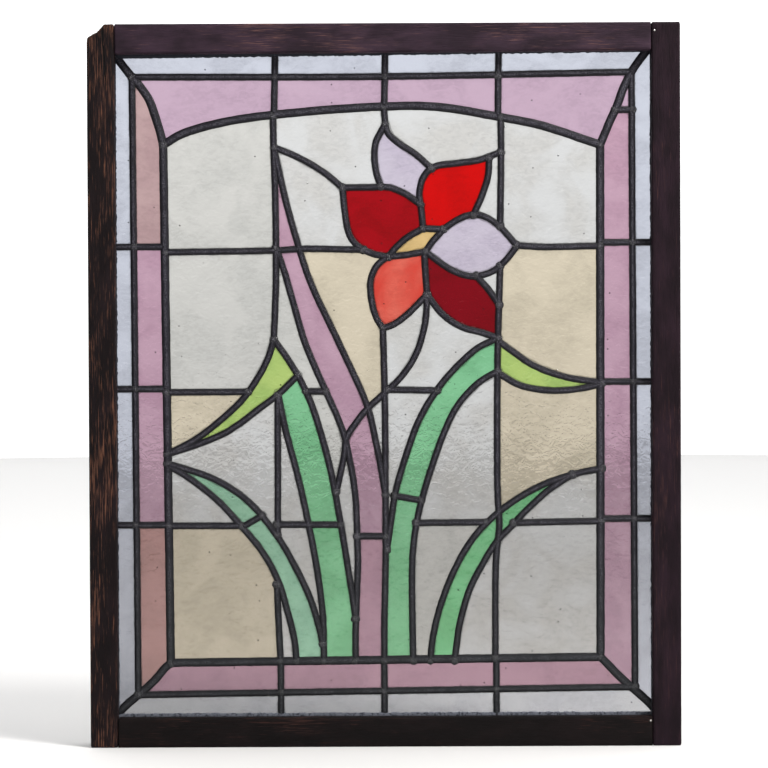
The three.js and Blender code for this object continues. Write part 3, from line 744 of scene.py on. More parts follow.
def stood_up(tree, shape):
    """The shape, drawn in XY, turned to stand in XZ."""
    quarter_turn = (math.pi / 2, 0.0, 0.0)
    return tree.add("GeometryNodeTransform", inputs={"Geometry": shape, "Rotation": quarter_turn})


def end_tree(tree, group, shape, material):
    real = tree.add("GeometryNodeRealizeInstances", inputs={"Geometry": shape})
    made = tree.add("GeometryNodeSetMaterial", inputs={"Geometry": real, "Material": material})
    group.links.new(made.socket, group.nodes.new("NodeGroupOutput").inputs[0])
    return group


def came_tree():
    """Sweeps the section of a came, two domed leaves and a heart, along curves drawn in XY."""
    group, tree, wires = new_tree("Came", {
        "Width": 0.0063, "Rise": 0.00145, "Front": -0.00355, "Back": -0.00095, "Heart": 0.0016,
        "Step": 0.0024, "Dents": 0.0008,
    })

    def leaf(depth, start):
        arc = tree.add("GeometryNodeCurveArc", {"mode": "RADIUS"}, {
            "Resolution": 9, "Radius": 1.0, "Start Angle": start, "Sweep Angle": math.pi})
        closed = tree.add("GeometryNodeSetSplineCyclic", inputs={"Geometry": arc, "Cyclic": True})
        scale = tree.add("ShaderNodeCombineXYZ", inputs={0: wires["Width"] * 0.5, 1: wires["Rise"], 2: 1.0})
        move = tree.add("ShaderNodeCombineXYZ", inputs={0: 0.0, 1: depth, 2: 0.0})
        return tree.add("GeometryNodeTransform", inputs={
            "Geometry": closed, "Translation": move, "Scale": scale})

    front = leaf(wires["Front"], math.pi)
    back = leaf(wires["Back"], 0.0)
    span = wires["Back"] - wires["Front"] + 0.0006
    bar = tree.add("GeometryNodeCurvePrimitiveQuadrilateral", inputs={
        "Width": wires["Heart"], "Height": span})
    depth = (wires["Back"] + wires["Front"]) * 0.5
    middle = tree.add("ShaderNodeCombineXYZ", inputs={0: 0.0, 1: depth, 2: 0.0})
    heart = tree.add("GeometryNodeTransform", inputs={"Geometry": bar, "Translation": middle})
    section = tree.add("GeometryNodeJoinGeometry", inputs={"Geometry": [heart, back, front]})
    path = tree.add("GeometryNodeResampleCurve", {"mode": "LENGTH"}, {
        "Curve": wires["Geometry"], "Length": wires["Step"]})
    swept = tree.add("GeometryNodeCurveToMesh", inputs={
        "Curve": path, "Profile Curve": section, "Fill Caps": True})
    dented = uneven(tree, stood_up(tree, swept), 85.0, 2.0, wires["Dents"])
    return end_tree(tree, group, dented, wires["Material"])


def solder_tree():
    """Sets a flattened drop of solder on every point, each one turned and sized a little otherwise."""
    group, tree, wires = new_tree("Solder", {
        "Radius": 0.0041, "Height": 0.0013, "Lumps": 0.0008, "Seed": 4,
    })

    def chance(low, high, draw):
        return tree.add("FunctionNodeRandomValue", {"data_type": "FLOAT"}, {
            2: low, 3: high, "Seed": wires["Seed"] + draw}, output=1)

    drop = tree.add("GeometryNodeMeshUVSphere", inputs={"Segments": 20, "Rings": 10, "Radius": 1.0})
    long, wide = wires["Radius"] * chance(0.82, 1.2, 0), wires["Radius"] * chance(0.8, 1.1, 1)
    size = tree.add("ShaderNodeCombineXYZ", inputs={0: long, 1: wide, 2: wires["Height"]})
    spin = tree.add("ShaderNodeCombineXYZ", inputs={0: 0.0, 1: 0.0, 2: chance(0.0, math.pi, 2)})
    drops = tree.add("GeometryNodeInstanceOnPoints", inputs={
        "Points": wires["Geometry"], "Instance": drop, "Rotation": spin, "Scale": size})
    real = tree.add("GeometryNodeRealizeInstances", inputs={"Geometry": drops})
    lumpy = uneven(tree, real, 190.0, 1.0, wires["Lumps"])
    return end_tree(tree, group, stood_up(tree, lumpy), wires["Material"])


def with_tree(piece, group, values):
    """Puts a node tree on the piece, its inputs set by their identifiers."""
    modifier = piece.modifiers.new(group.name, "NODES")
    modifier.node_group = group
    for item in group.interface.items_tree:
        if item.item_type == "SOCKET" and item.in_out == "INPUT" and item.name in values:
            modifier[item.identifier] = values[item.name]
    piece.update_tag()
    bpy.context.view_layer.update()


def came_piece(name, group, lines, width, material):
    curve = bpy.data.curves.new(name, "CURVE")
    curve.dimensions = "3D"
    curve.twist_mode = "Z_UP"
    for points in lines:
        line = smooth_line(points)
        spline = curve.splines.new("POLY")
        spline.points.add(len(line) - 1)
        for i, (x, z) in enumerate(line):
            spline.points[i].co = (x * MM, z * MM, 0.0, 1.0)
    drawing = bpy.data.objects.new(name + "_lines", curve)
    bpy.context.scene.collection.objects.link(drawing)
    with_tree(drawing, group, {"Width": width, "Material": material})
    return with_crown(shade_smooth(outward(made_plain(drawing, material, name))))


def crossing_points():
    """Where cames meet, and so where they are soldered, millimetres."""
    ends = []
    for points in FIELD_LINES + BORDER_LINES + MITRES:
        ends += [points[0], points[-1]]
    for points in OUTER_SIDES + INNER_SIDES:
        ends.append(points[0])
    joints = []
    for end in ends + BORDER_JOINTS:
        inside = all(low < part < high for low, part, high in zip(JOINTS_FROM, end, JOINTS_TO))
        if inside and all(math.dist(end, joint) > JOINT_GAP for joint in joints):
            joints.append(end)
    return joints


def solder_piece(group, material):
    """Solder on both faces of the lattice."""
    levels = [-LEAD_FRONT - SOLDER_SUNK, -LEAD_BACK + SOLDER_SUNK]
    points = [(x * MM, z * MM, level * MM) for x, z in crossing_points() for level in levels]
    cloud = mesh_object("solder_points", points, [])
    with_tree(cloud, group, {"Material": material})
    return with_crown(shade_smooth(outward(made_plain(cloud, material, "solder_joints"))))


def corner_at(name, outwards):
    """The corner of the daylight opening, moved outward by two distances, millimetres."""
    return tuple(SIGHT[name][i] - INWARD[name][i] * outwards[i] for i in range(2))


def loft_round(name, sections, material, step, ragged=0.0, seed=1):
    """A closed ring round the opening. Each section is (outward distances by corner, depth)."""
    chooser = random.Random(seed)
    shares = []
    for side in range(4):
        a, b = SIGHT[CORNERS[side]], SIGHT[CORNERS[(side + 1) % 4]]
        count = math.ceil(math.dist(a, b) / step)
        shares += [(side, i / count) for i in range(count)]
    wobble = [chooser.uniform(-1, 1) for _ in shares]
    vertices = []
    for (side, share), shift in zip(shares, wobble):
        first, second = CORNERS[side], CORNERS[(side + 1) % 4]
        for outwards, depth, loose in sections:
            a, b = corner_at(first, outwards[first]), corner_at(second, outwards[second])
            x, z = (a[i] + (b[i] - a[i]) * share for i in range(2))
            lift = shift * ragged * loose * min(1.0, 8 * share, 8 * (1 - share))
            if side % 2 == 0:
                z += lift
            else:
                x += lift
            vertices.append((x * MM, depth * MM, z * MM))
    rows = len(sections)
    faces = []
    for i in range(len(shares)):
        j = (i + 1) % len(shares)
        for k in range(rows):
            m = (k + 1) % rows
            faces.append((i * rows + k, i * rows + m, j * rows + m, j * rows + k))
    return outward(mesh_object(name, vertices, faces, material))


def even(outward_by):
    return {name: (outward_by, outward_by) for name in CORNERS}


def edge_lead(material):
    """The came round the edge of the panel, whose leaf just shows inside the frame."""
    shows = {name: tuple(-distance for distance in EDGE_LEAD_SHOWS[name]) for name in CORNERS}
    back = {name: tuple(distance + 0.6 for distance in shows[name]) for name in CORNERS}
    sections = [
        (even(8.0), LEAD_FRONT + 0.1, 0.0),
        (back, LEAD_FRONT + 0.05, 0.5),
        (shows, LEAD_FRONT + 0.7, 1.0),
        (shows, GLASS_FRONT - 0.05, 1.0),
        (even(6.6), GLASS_FRONT - 0.05, 0.0),
        (even(6.6), GLASS_BACK + 0.05, 0.0),
        (even(0.2), GLASS_BACK + 0.05, 0.0),
        (even(0.4), LEAD_BACK - 0.1, 0.0),
        (even(8.0), LEAD_BACK, 0.0),
    ]
    return shade_smooth(loft_round("edge_lead", sections, material, 1.8, 0.5, 8))


# Glass


def front_outlines(mesh):
    """The outlines of the front face of each body of a flat piece, millimetres."""
    work = bmesh.new()
    work.from_mesh(mesh)
    bmesh.ops.remove_doubles(work, verts=work.verts, dist=1e-5)
    work.normal_update()
    nexts = {}
    for edge in work.edges:
        fronts = [face for face in edge.link_faces if face.normal.y < -0.9]
        if len(fronts) == 1:
            for loop in fronts[0].loops:
                if loop.edge == edge:
                    nexts[loop.vert.index] = loop.link_loop_next.vert.index
    work.verts.ensure_lookup_table()
    outlines = []
    while nexts:
        start = next(iter(nexts))
        outline = [start]
        while nexts.get(outline[-1]) is not None:
            following = nexts.pop(outline[-1])
            if following == start:
                break
            outline.append(following)
        outlines.append([(work.verts[i].co.x / MM, work.verts[i].co.z / MM) for i in outline])
    work.free()
    return [outline for outline in outlines if len(outline) > 2 and abs(area_of(outline)) > 4]


def area_of(outline):
    points = np.array(outline)
    after = np.roll(points, -1, axis=0)
    return float((points[:, 0] * after[:, 1] - after[:, 0] * points[:, 1]).sum() / 2)


def stepped(outline, step, closed=True):
    """The outline, or the open line, with its long sides divided."""
    points = []
    for i, a in enumerate(outline if closed else outline[:-1]):
        b = outline[(i + 1) % len(outline)]
        count = max(1, math.ceil(math.dist(a, b) / step))
        across, up = b[0] - a[0], b[1] - a[1]
        points += [(a[0] + across * k / count, a[1] + up * k / count) for k in range(count)]
    return points if closed else points + [outline[-1]]


def rim_distance(points, outline):
    """How far each point is from the outline, and whether it lies inside."""
    a = np.array(outline)
    b = np.roll(a, -1, axis=0)
    side = b - a
    length2 = (side ** 2).sum(1)
    gap = points[:, None, :] - a[None]
    share = np.clip((gap * side[None]).sum(2) / length2[None], 0, 1)
    distance = np.linalg.norm(gap - share[..., None] * side[None], axis=2).min(1)
    straddles = (a[None, :, 1] > points[:, None, 1]) != (b[None, :, 1] > points[:, None, 1])
    rise = np.where(side[:, 1] == 0, 1.0, side[:, 1])
    crossing = a[None, :, 0] + (points[:, None, 1] - a[None, :, 1]) * (side[:, 0] / rise)[None]
    inside = (straddles & (points[:, None, 0] < crossing)).sum(1) % 2 == 1
    return distance, inside


def heart_line():
    """Points along the middle of every came, with the way each one runs there."""
    points, ways = [], []
    for line in ALL_LINES:
        smooth = np.array(stepped(smooth_line(line), 1.0, closed=False))
        points.append(smooth[:-1])
        way = np.diff(smooth, axis=0)
        ways.append(way / np.linalg.norm(way, axis=1)[:, None])
    return np.vstack(points), np.vstack(ways)


def follow_cames(rim, hearts):
    """The rim, moved straight in or out to a steady gap from the hearts that it runs beside."""
    points = np.array(rim)
    low, high = points.min(0) - HEART_REACH, points.max(0) + HEART_REACH
    near = ((hearts[0] > low) & (hearts[0] < high)).all(1)
    places, ways = hearts[0][near], hearts[1][near]
    before = points - np.roll(points, 1, axis=0)
    after = np.roll(points, -1, axis=0) - points
    before /= np.linalg.norm(before, axis=1)[:, None]
    after /= np.linalg.norm(after, axis=1)[:, None]
    moved = points.copy()
    for i in range(len(points)):
        if before[i] @ after[i] < STRAIGHT:
            continue
        way = before[i] + after[i]
        inward = np.array((-way[1], way[0])) / np.linalg.norm(way)
        gap = points[i] - places
        beside = (np.linalg.norm(gap, axis=1) < HEART_REACH) & (np.abs(ways @ inward) < ALONGSIDE)
        if beside.any():
            shifts = HEART_TO_GLASS - gap[beside] @ inward
            shift = shifts[np.abs(shifts).argmin()]
            if abs(shift) < MOST_SHIFT:
                moved[i] += inward * shift
    return rim if crosses_itself(moved) else [tuple(point) for point in moved]


def crosses_itself(points):
    """Whether any two sides of an outline cross."""
    a, b = points, np.roll(points, -1, axis=0)

    def side(p, q, r):
        along, aside = q - p, r - p
        return along[..., 0] * aside[..., 1] - along[..., 1] * aside[..., 0]

    p, q, r, t = a[:, None], b[:, None], a[None], b[None]
    parts_ends = side(p, q, r) * side(p, q, t) < -1e-9
    ends_parted = side(r, t, p) * side(r, t, q) < -1e-9
    return bool((parts_ends & ends_parted).any())


def honeycomb(outline, pitch, keep_off):
    """Points in even rows inside the outline, clear of its edge."""
    low, high = np.min(outline, axis=0), np.max(outline, axis=0)
    rows = np.arange(low[1], high[1], pitch * 0.866)
    points = []
    for i, z in enumerate(rows):
        start = low[0] + (pitch / 2 if i % 2 else 0)
        points += [(x, z) for x in np.arange(start, high[0], pitch)]
    if not points:
        return []
    points = np.array(points)
    distance, inside = rim_distance(points, outline)
    return [tuple(point) for point in points[inside & (distance > keep_off)]]


def sheet_relief(x, z, seed, strength):
    """Height of a rolled sheet's face at a point, millimetres."""
    shift = seed * 37.1
    waves = noise.noise(Vector((x / 16 + shift, z / 12, shift)))
    hammered = noise.noise(Vector((x / 9.0, z / 7.5 + shift, 2 * shift)))
    patches = 0.55 + 0.5 * noise.noise(Vector((x / 45, z / 45, shift + 9)))
    return strength * (0.07 * waves + 0.14 * patches * hammered)


def pane(name, outline, kind, slot, seed, pitch, hearts, *nodes):
    """One pane: a rippled front, a flat back and cut edges."""
    if area_of(outline) < 0:
        outline = outline[::-1]
    rim = follow_cames(stepped(outline, RIM_STEP), hearts)
    inner = honeycomb(rim, pitch, RIM_MARGIN)
    flat = [Vector(point) for point in rim + inner]
    sides = [(i, (i + 1) % len(rim)) for i in range(len(rim))]
    made = geometry.delaunay_2d_cdt(flat, sides, [list(range(len(rim)))], 1, 1e-4)
    spots, triangles = made[0], made[2]
    strength = GLASS[kind].relief
    distance, _ = rim_distance(np.array([tuple(spot) for spot in spots]), rim)
    vertices = [
        (x * MM, (GLASS_FRONT + sheet_relief(x, z, seed, strength)) * MM, z * MM) for x, z in spots]
    faces = [tuple(triangle) for triangle in triangles]
    edge_count = {}
    for triangle in faces:
        for i in range(3):
            pair = (triangle[i], triangle[(i + 1) % 3])
            edge_count[frozenset(pair)] = None if frozenset(pair) in edge_count else pair
    border = dict(pair for pair in edge_count.values() if pair)
    order = [next(iter(border))]
    while border[order[-1]] != order[0]:
        order.append(border[order[-1]])
    base = len(vertices)
    vertices += [(spots[i][0] * MM, GLASS_BACK * MM, spots[i][1] * MM) for i in order]
    count = len(order)
    faces += [(order[(i + 1) % count], order[i], base + i, base + (i + 1) % count) for i in range(count)]
    faces.append(tuple(base + i for i in reversed(range(count))))
    piece = mesh_object(name, vertices, faces, glass(kind))
    store = piece.data.attributes.new("rim", "FLOAT", "POINT")
    values = [value * MM for value in distance] + [CLEAR_OF_RIM] * count
    store.data.foreach_set("value", values)
    outward(piece, merge=False)
    for face in piece.data.polygons:
        face.use_smooth = len(face.vertices) == 3
    return settle(piece, slot, *nodes)


def past_the_edge(line):
    """The line, each end that is hidden by the frame drawn out past the glass."""
    points = [np.array(point, float) for point in line]
    low, high = SIGHT["bottom_left"], SIGHT["top_right"]
    for end, inner in ((0, 1), (-1, -2)):
        x, z = points[end]
        if not (low[0] < x < high[0] and low[1] < z < high[1]):
            way = points[end] - points[inner]
            points[end] = points[end] + way / np.linalg.norm(way) * PAST_EDGE
    return points


def cut_apart(node, lines):
    """The outlines of the separate panes of a border, once its cames have cut the ring."""
    ring = cad_copy(node, node + "_ring")
    for line in lines:
        outline = ribbon(past_the_edge(line), 2 * HEART_TO_GLASS)
        count = len(outline)
        vertices = [(x * MM, y * MM, z * MM) for y in (GLASS_FRONT - 1, GLASS_BACK + 1) for x, z in outline]
        faces = [tuple(range(count)), tuple(reversed(range(count, 2 * count)))]
        faces += [(i, (i + 1) % count, count + (i + 1) % count, count + i) for i in range(count)]
        cutter = outward(mesh_object("cutter", vertices, faces))
        cut = ring.modifiers.new("cut", "BOOLEAN")
        cut.operation = "DIFFERENCE"
        cut.solver = "EXACT"
        cut.object = cutter
        graph = bpy.context.evaluated_depsgraph_get()
        mesh = bpy.data.meshes.new_from_object(ring.evaluated_get(graph), depsgraph=graph)
        ring.modifiers.clear()
        ring.data = mesh
        bpy.data.objects.remove(cutter)
    outlines = front_outlines(ring.data)
    bpy.data.objects.remove(ring)
    return outlines


def border_kind(kind, x, z):
    """The sheet a border pane was cut from: they don't all match."""
    if kind == "blue_grey":
        return "grey" if z < 60 else kind
    if x < -205:
        return "salmon" if z > 470 else "rose" if z < 200 else "pink"
    return "light_pink" if z > 580 else "deep_pink" if z < 90 else "pink"


def middle_of(outline):
    return tuple(np.mean(stepped(outline, RIM_STEP), axis=0))


# Wood


def timber(node, name, seed, along, material, wear):
    """One member of the frame: its CAD solid with softened, nibbled arrises and open grain."""
    piece = cad_copy(node, name)
    piece = softened(piece, WOOD_VOXEL, material, name)
    points, normals = points_of(piece.data), normals_of(piece.data)
    squareness = np.abs(normals).max(1)
    arris = np.clip((0.985 - squareness) / 0.25, 0, 1)
    shift = np.empty(len(points))
    for i, (point, normal) in enumerate(zip(points, normals)):
        spot = point / MM
        stretched = Vector(spot)
        stretched[along] *= 0.05
        grain = noise.noise(stretched * 0.55 + Vector((seed, 0, seed)))
        dent = noise.noise(Vector(spot) * 0.09 + Vector((0, seed, 0)))
        nibble = noise.noise(Vector(spot) * 0.33 + Vector((seed, seed, 0)))
        worn = arris[i] * wear * (0.25 + 0.7 * max(0.0, nibble))
        shift[i] = -0.10 * abs(grain) - 0.08 * max(0.0, dent) - worn
    points += normals * (shift * MM)[:, None]
    points = sink_pins(points)
    if node == "left_stile":
        points = splinter(points, normals)
    set_points(piece.data, points)
    return shade_smooth(piece)


def splinter(points, normals):
    """Rough torn fibres on the faces where the corner broke off."""
    beyond = (points[:, (0, 2)] - BREAK_AT) @ BREAK_WAY
    torn = np.clip((beyond + 0.0032) / 0.0014, 0, 1) * (np.abs(normals[:, 1]) < 0.8)
    for i in np.nonzero(torn > 0)[0]:
        x, y, z = points[i] / MM
        fibre = noise.noise(Vector((x * 1.1, y * 0.45, z * 0.12)))
        lump = noise.noise(Vector((x * 0.3, y * 0.3, z * 0.2)) + Vector((7, 3, 1)))
        depth = 0.7 * abs(fibre) + 0.9 * max(0.0, lump)
        points[i] -= np.array((BREAK_WAY[0], 0, BREAK_WAY[1])) * MM * torn[i] * depth
    return points


def putty_piece(material):
    piece = softened(cad_copy("putty", "putty_fillet"), PUTTY_VOXEL, material, "putty_fillet")
    points, normals = points_of(piece.data), normals_of(piece.data)
    for i, point in enumerate(points):
        spot = Vector(point / MM)
        lump = noise.noise(spot * 0.12) + 0.5 * noise.noise(spot * 0.5)
        points[i] -= normals[i] * MM * (0.12 + 0.22 * max(0.0, lump))
    set_points(piece.data, points)
    return shade_smooth(piece)


def sink_pins(points):
    """Small hollows in the face of the wood, where the pins were driven in."""
    face = points[:, 1] < -16 * MM
    for x, z in PINS:
        away = np.hypot(points[:, 0] / MM - x, points[:, 2] / MM - z)
        points[face, 1] += (np.clip(1 - away / 2.8, 0, 1) * 0.7 * MM)[face]
    return points


def pin(name, x, z, material):
    """A small domed pin head, sunk so that it is level with the wood."""
    rings, segments, radius, rise = 5, 18, 0.9, 0.42
    front = -16.58
    vertices = [(x * MM, (front - rise) * MM, z * MM)]
    for ring in range(1, rings + 1):
        angle = ring / rings * math.pi / 2
        for segment in range(segments):
            turn = TWO_PI * segment / segments
            vertices.append((
                (x + radius * math.sin(angle) * math.cos(turn)) * MM,
                (front - rise * math.cos(angle)) * MM,
                (z + radius * math.sin(angle) * math.sin(turn)) * MM,
            ))
    for segment in range(segments):
        turn = TWO_PI * segment / segments
        shank = (x + 0.5 * math.cos(turn), front + 6, z + 0.5 * math.sin(turn))
        vertices.append(tuple(part * MM for part in shank))
    faces = [(0, 1 + i, 1 + (i + 1) % segments) for i in range(segments)]
    for ring in range(rings):
        a, b = 1 + ring * segments, 1 + (ring + 1) * segments
        faces += [(a + i, b + i, b + (i + 1) % segments, a + (i + 1) % segments) for i in range(segments)]
    last = 1 + rings * segments
    faces.append(tuple(last + i for i in range(segments)))
    return shade_smooth(outward(mesh_object(name, vertices, faces, material)))


# Stage


# Where the lamps stand, what they point at and their size, metres
KEY_FROM, KEY_TO, KEY_SIZE = (1.35, -1.0, 2.1), (0.0, 0.0, 0.34), 0.8
OVERHEAD_FROM, OVERHEAD_TO, OVERHEAD_SIZE = (0.0, 1.5, 3.6), (0.0, 1.5, 0.0), 5.5

# The wall: its height, where it is brightest, and how far round it comes on each side, in radians
WALL_HEIGHT = 4.5
WALL_BRIGHT_AT = 1.4
WALL_REACH = 0.3


def camera_place(settings):
    """The camera's place and turn in the world."""
    yaw, pitch, roll = settings.camera_yaw, settings.camera_pitch, settings.camera_roll
    forward = Vector((math.sin(yaw) * math.cos(pitch), math.cos(yaw) * math.cos(pitch), math.sin(pitch)))
    level = Vector((math.cos(yaw), -math.sin(yaw), 0.0))
    above = level.cross(forward)
    right = level * math.cos(roll) + above * math.sin(roll)
    up = above * math.cos(roll) - level * math.sin(roll)
    turn = Matrix((right, up, -forward)).transposed().to_4x4()
    return Matrix.Translation(settings.camera_from) @ turn


def area_light(name, place, aim, size, power, tint):
    light = bpy.data.lights.new(name, "AREA")
    light.shape = "DISK"
    light.size = size
    light.energy = power
    light.color = tint
    lamp = bpy.data.objects.new(name, light)
    bpy.context.scene.collection.objects.link(lamp)
    lamp.location = place
    lamp.rotation_euler = (Vector(aim) - Vector(place)).to_track_quat("-Z", "Y").to_euler()
    return lamp


def white_wall_finish(low, high, top):
    """A lit white wall, a little brighter higher up."""
    finish = Finish("white_wall")
    light = finish.mix((finish.z / top).smooth(0.0, 1.0), colour(low, low, low), colour(high, high, high))
    return finish.surface(
        Base_Color=colour(0, 0, 0), Roughness=1.0, Emission_Color=light, Emission_Strength=1.0)


def round_wall(radius, height, reach, material):
    """The wall behind the window, bent round it."""
    count = 96
    turns = [-reach + (math.pi + 2 * reach) * i / count for i in range(count + 1)]
    ring = [(radius * math.cos(turn), radius * math.sin(turn)) for turn in turns]
    vertices = [(x, y, z) for z in (0.0, height) for x, y in ring]
    faces = [(i + 1, i, count + 1 + i, count + 2 + i) for i in range(count)]
    return mesh_object("wall", vertices, faces, material)


def floor_disc(radius, material):
    count = 160
    vertices = [(radius * math.cos(TWO_PI * i / count), radius * math.sin(TWO_PI * i / count), 0.0)
                for i in range(count)]
    return mesh_object("floor", vertices, [tuple(range(count))], material)


# Add-on


class WindowSettings(bpy.types.PropertyGroup):
    """Sizes and finishes of the leaded window"""

    thin_came: bpy.props.FloatProperty(
        name="Thin came", description="Width of the thin lead cames", default=0.0063,
        min=0.004, max=0.009, unit="LENGTH", precision=4)
    heavy_came: bpy.props.FloatProperty(
        name="Heavy came", description="Width of the heavy lead cames", default=0.008,
        min=0.005, max=0.012, unit="LENGTH", precision=4)
    glass_grid: bpy.props.FloatProperty(
        name="Glass grid", description="Spacing of the points that carry the relief of the glass",
        default=2.3, min=1.5, max=8.0)
    arris_wear: bpy.props.FloatProperty(
        name="Arris wear", description="How far the edges of the wood are worn away",
        default=1.0, min=0.0, max=2.0)
    floor_radius: bpy.props.FloatProperty(
        name="Floor radius", description="Radius of the pale floor", default=5.95, unit="LENGTH")
    floor_colour: bpy.props.FloatVectorProperty(
        name="Floor colour", description="Colour of the floor", subtype="COLOR",
        default=(0.75, 0.745, 0.74), min=0.0, max=1.0)
    surround: bpy.props.FloatProperty(
        name="Surround", description="Brightness of the rest of the room", default=0.22, min=0.0)
    wall_light: bpy.props.FloatVectorProperty(
        name="Wall light", size=2,
        description="Brightness of the wall at its foot and behind the top of the window",
        default=(1.2, 1.5), min=0.0)
    overhead_power: bpy.props.FloatProperty(
        name="Overhead light", description="Power of the light over the floor", default=115.0, unit="POWER")
    key_power: bpy.props.FloatProperty(
        name="Key light", description="Power of the light from the upper right", default=75.0, unit="POWER")
    camera_from: bpy.props.FloatVectorProperty(
        name="Camera place", description="Where the camera stands", subtype="TRANSLATION",
        default=(0.000045, -2.217, 0.37886))
    camera_yaw: bpy.props.FloatProperty(
        name="Camera yaw", description="Turn about the vertical", default=-0.00033, unit="ROTATION")
    camera_pitch: bpy.props.FloatProperty(
        name="Camera pitch", description="Tilt above the level", default=-0.01602, unit="ROTATION")
    camera_roll: bpy.props.FloatProperty(
        name="Camera roll", description="Turn about the line of sight", default=-0.00416, unit="ROTATION")
    focal_pixels: bpy.props.FloatProperty(
        name="Focal length", description="Focal length in widths of one pixel of a square image",
        default=2329.63)


class PieceOperator:
    """What the operators that make pieces share"""

    bl_options = {"REGISTER", "UNDO"}

    @property
    def settings(self):
        return bpy.context.scene.leaded_window


class WINDOW_OT_lead(PieceOperator, bpy.types.Operator):
    """Make the lead cames, their solder and the lead round the edge"""

    bl_idname = "leaded_window.lead"
    bl_label = "Lead"

    def execute(self, context):
        settings = self.settings
        old_lead = lead_finish("old_lead", 0.0)
        group = came_tree()
        field = came_piece("field_cames", group, FIELD_LINES, settings.thin_came, old_lead)
        border = came_piece("border_cames", group, OUTER_SIDES + BORDER_LINES, settings.thin_came, old_lead)
        heavy = came_piece("heavy_cames", group, INNER_SIDES + MITRES, settings.heavy_came, old_lead)
        for piece in (field, border, heavy, edge_lead(edge_lead_finish())):
            settle(piece, "lead", "lead_cames")
        settle(solder_piece(solder_tree(), lead_finish("solder", 1.0)), "lead", "lead_cames")
        return {"FINISHED"}


class WINDOW_OT_field_glass(PieceOperator, bpy.types.Operator):
    """Make the panes of the flower, its leaves and the ground behind them"""

    bl_idname = "leaded_window.field_glass"
    bl_label = "Field glass"

    def execute(self, context):
        hearts = heart_line()
        panes = [node for node, slot in SLOT_OF.items() if slot.startswith("glass_")]
        nodes = [node for node in panes if "border" not in node]
        for seed, node in enumerate(nodes):
            slot = SLOT_OF[node]
            kind = OTHER_SHEETS.get(node, slot.removeprefix("glass_"))
            outlines = front_outlines(frame["nodes"][node].data)
            if len(outlines) != 1:
                raise RuntimeError(f"{node} has {len(outlines)} front outlines")
            pane(f"pane_{node}", outlines[0], kind, slot, seed, self.settings.glass_grid, hearts, node)
        return {"FINISHED"}


class WINDOW_OT_border_glass(PieceOperator, bpy.types.Operator):
    """Make the panes of the two borders"""

    bl_idname = "leaded_window.border_glass"
    bl_label = "Border glass"

    def execute(self, context):
        hearts = heart_line()
        lines = BORDER_LINES + [smooth_line(points, 6.0) for points in MITRES]
        for node, kind in (("outer_border_glass", "blue_grey"), ("inner_border_glass", "pink")):
            outlines = sorted(cut_apart(node, lines), key=middle_of)
            for number, outline in enumerate(outlines, 1):
                x, z = middle_of(outline)
                name = f"{node.removesuffix('_glass')}_pane_{number:02d}"
                own = border_kind(kind, x, z)
                pane(name, outline, own, SLOT_OF[node], 60 + number, self.settings.glass_grid, hearts, node)
        return {"FINISHED"}


class WINDOW_OT_frame(PieceOperator, bpy.types.Operator):
    """Make the stiles and rails, worn and scuffed, and the pins in them"""

    bl_idname = "leaded_window.frame"
    bl_label = "Wooden frame"

    def execute(self, context):
        woods = frame_wood()
        wear = self.settings.arris_wear
        for seed, (node, along) in enumerate(
                (("left_stile", 2), ("right_stile", 2), ("top_rail", 0), ("bottom_rail", 0))):
            piece = timber(node, "worn_" + node, 11.3 * (seed + 1), along, woods[node], wear)
            settle(piece, "frame_wood", node)
        bright = pin_finish()
        for number, (x, z) in enumerate(PINS, 1):
            settle(pin(f"pin_{number}", x, z, bright), "frame_wood")
        return {"FINISHED"}


class WINDOW_OT_putty(PieceOperator, bpy.types.Operator):
    """Make the putty behind the panel"""

    bl_idname = "leaded_window.putty"
    bl_label = "Putty"

    def execute(self, context):
        settle(putty_piece(putty_finish()), "putty", "putty")
        return {"FINISHED"}


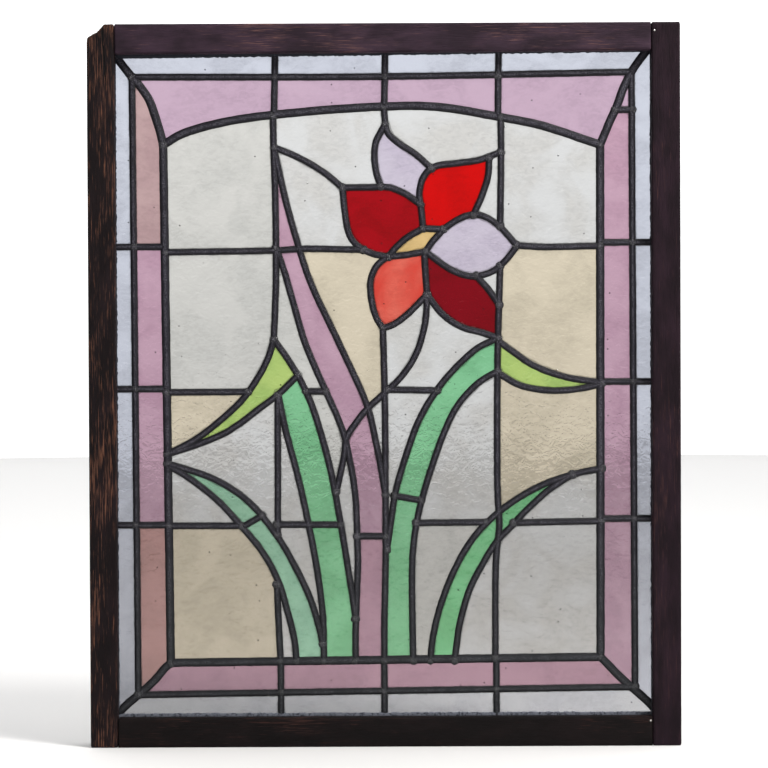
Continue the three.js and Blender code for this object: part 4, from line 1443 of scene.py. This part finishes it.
class WINDOW_OT_stage(PieceOperator, bpy.types.Operator):
    """Make the floor, the lights and the camera"""

    bl_idname = "leaded_window.stage"
    bl_label = "Stage"

    def execute(self, context):
        settings = self.settings
        scene = context.scene
        pale = Finish("pale_floor").surface(Base_Color=colour(*settings.floor_colour), Roughness=0.9)
        floor_disc(settings.floor_radius, pale)
        lit = white_wall_finish(*settings.wall_light, WALL_BRIGHT_AT)
        round_wall(settings.floor_radius, WALL_HEIGHT, WALL_REACH, lit)
        world = bpy.data.worlds.new("white_room")
        world.use_nodes = True
        room = world.node_tree.nodes["Background"]
        room.inputs["Color"].default_value = colour(1.0, 1.0, 1.0)
        room.inputs["Strength"].default_value = settings.surround
        scene.world = world
        area_light("key", KEY_FROM, KEY_TO, KEY_SIZE, settings.key_power, (1.0, 0.98, 0.96))
        area_light(
            "overhead", OVERHEAD_FROM, OVERHEAD_TO, OVERHEAD_SIZE, settings.overhead_power, (1.0, 1.0, 1.0))
        lens = bpy.data.cameras.new("camera")
        lens.lens = settings.focal_pixels / IMAGE_WIDTH * lens.sensor_width
        lens.clip_end = 100.0
        camera = bpy.data.objects.new("camera", lens)
        scene.collection.objects.link(camera)
        camera.matrix_world = camera_place(settings)
        scene.camera = camera
        scene.view_settings.view_transform = "Standard"
        return {"FINISHED"}


class WINDOW_PT_panel(bpy.types.Panel):
    """The sizes of the window and the operators that make it"""

    bl_label = "Leaded Window"
    bl_idname = "WINDOW_PT_panel"
    bl_space_type = "VIEW_3D"
    bl_region_type = "UI"
    bl_category = "Leaded Window"

    def draw(self, context):
        for name in WindowSettings.__annotations__:
            self.layout.prop(context.scene.leaded_window, name)
        for operator in OPERATORS:
            self.layout.operator(operator.bl_idname)


OPERATORS = (
    WINDOW_OT_stage,
    WINDOW_OT_frame,
    WINDOW_OT_putty,
    WINDOW_OT_lead,
    WINDOW_OT_field_glass,
    WINDOW_OT_border_glass,
)
CLASSES = (WindowSettings, *OPERATORS, WINDOW_PT_panel)


def register():
    for made in CLASSES:
        bpy.utils.register_class(made)
    bpy.types.Scene.leaded_window = bpy.props.PointerProperty(type=WindowSettings)


def unregister():
    del bpy.types.Scene.leaded_window
    for made in reversed(CLASSES):
        bpy.utils.unregister_class(made)


def main():
    register()
    bpy.ops.leaded_window.stage()
    bpy.ops.leaded_window.frame()
    bpy.ops.leaded_window.putty()
    bpy.ops.leaded_window.lead()
    bpy.ops.leaded_window.field_glass()
    bpy.ops.leaded_window.border_glass()


if __name__ == "__main__":
    main()
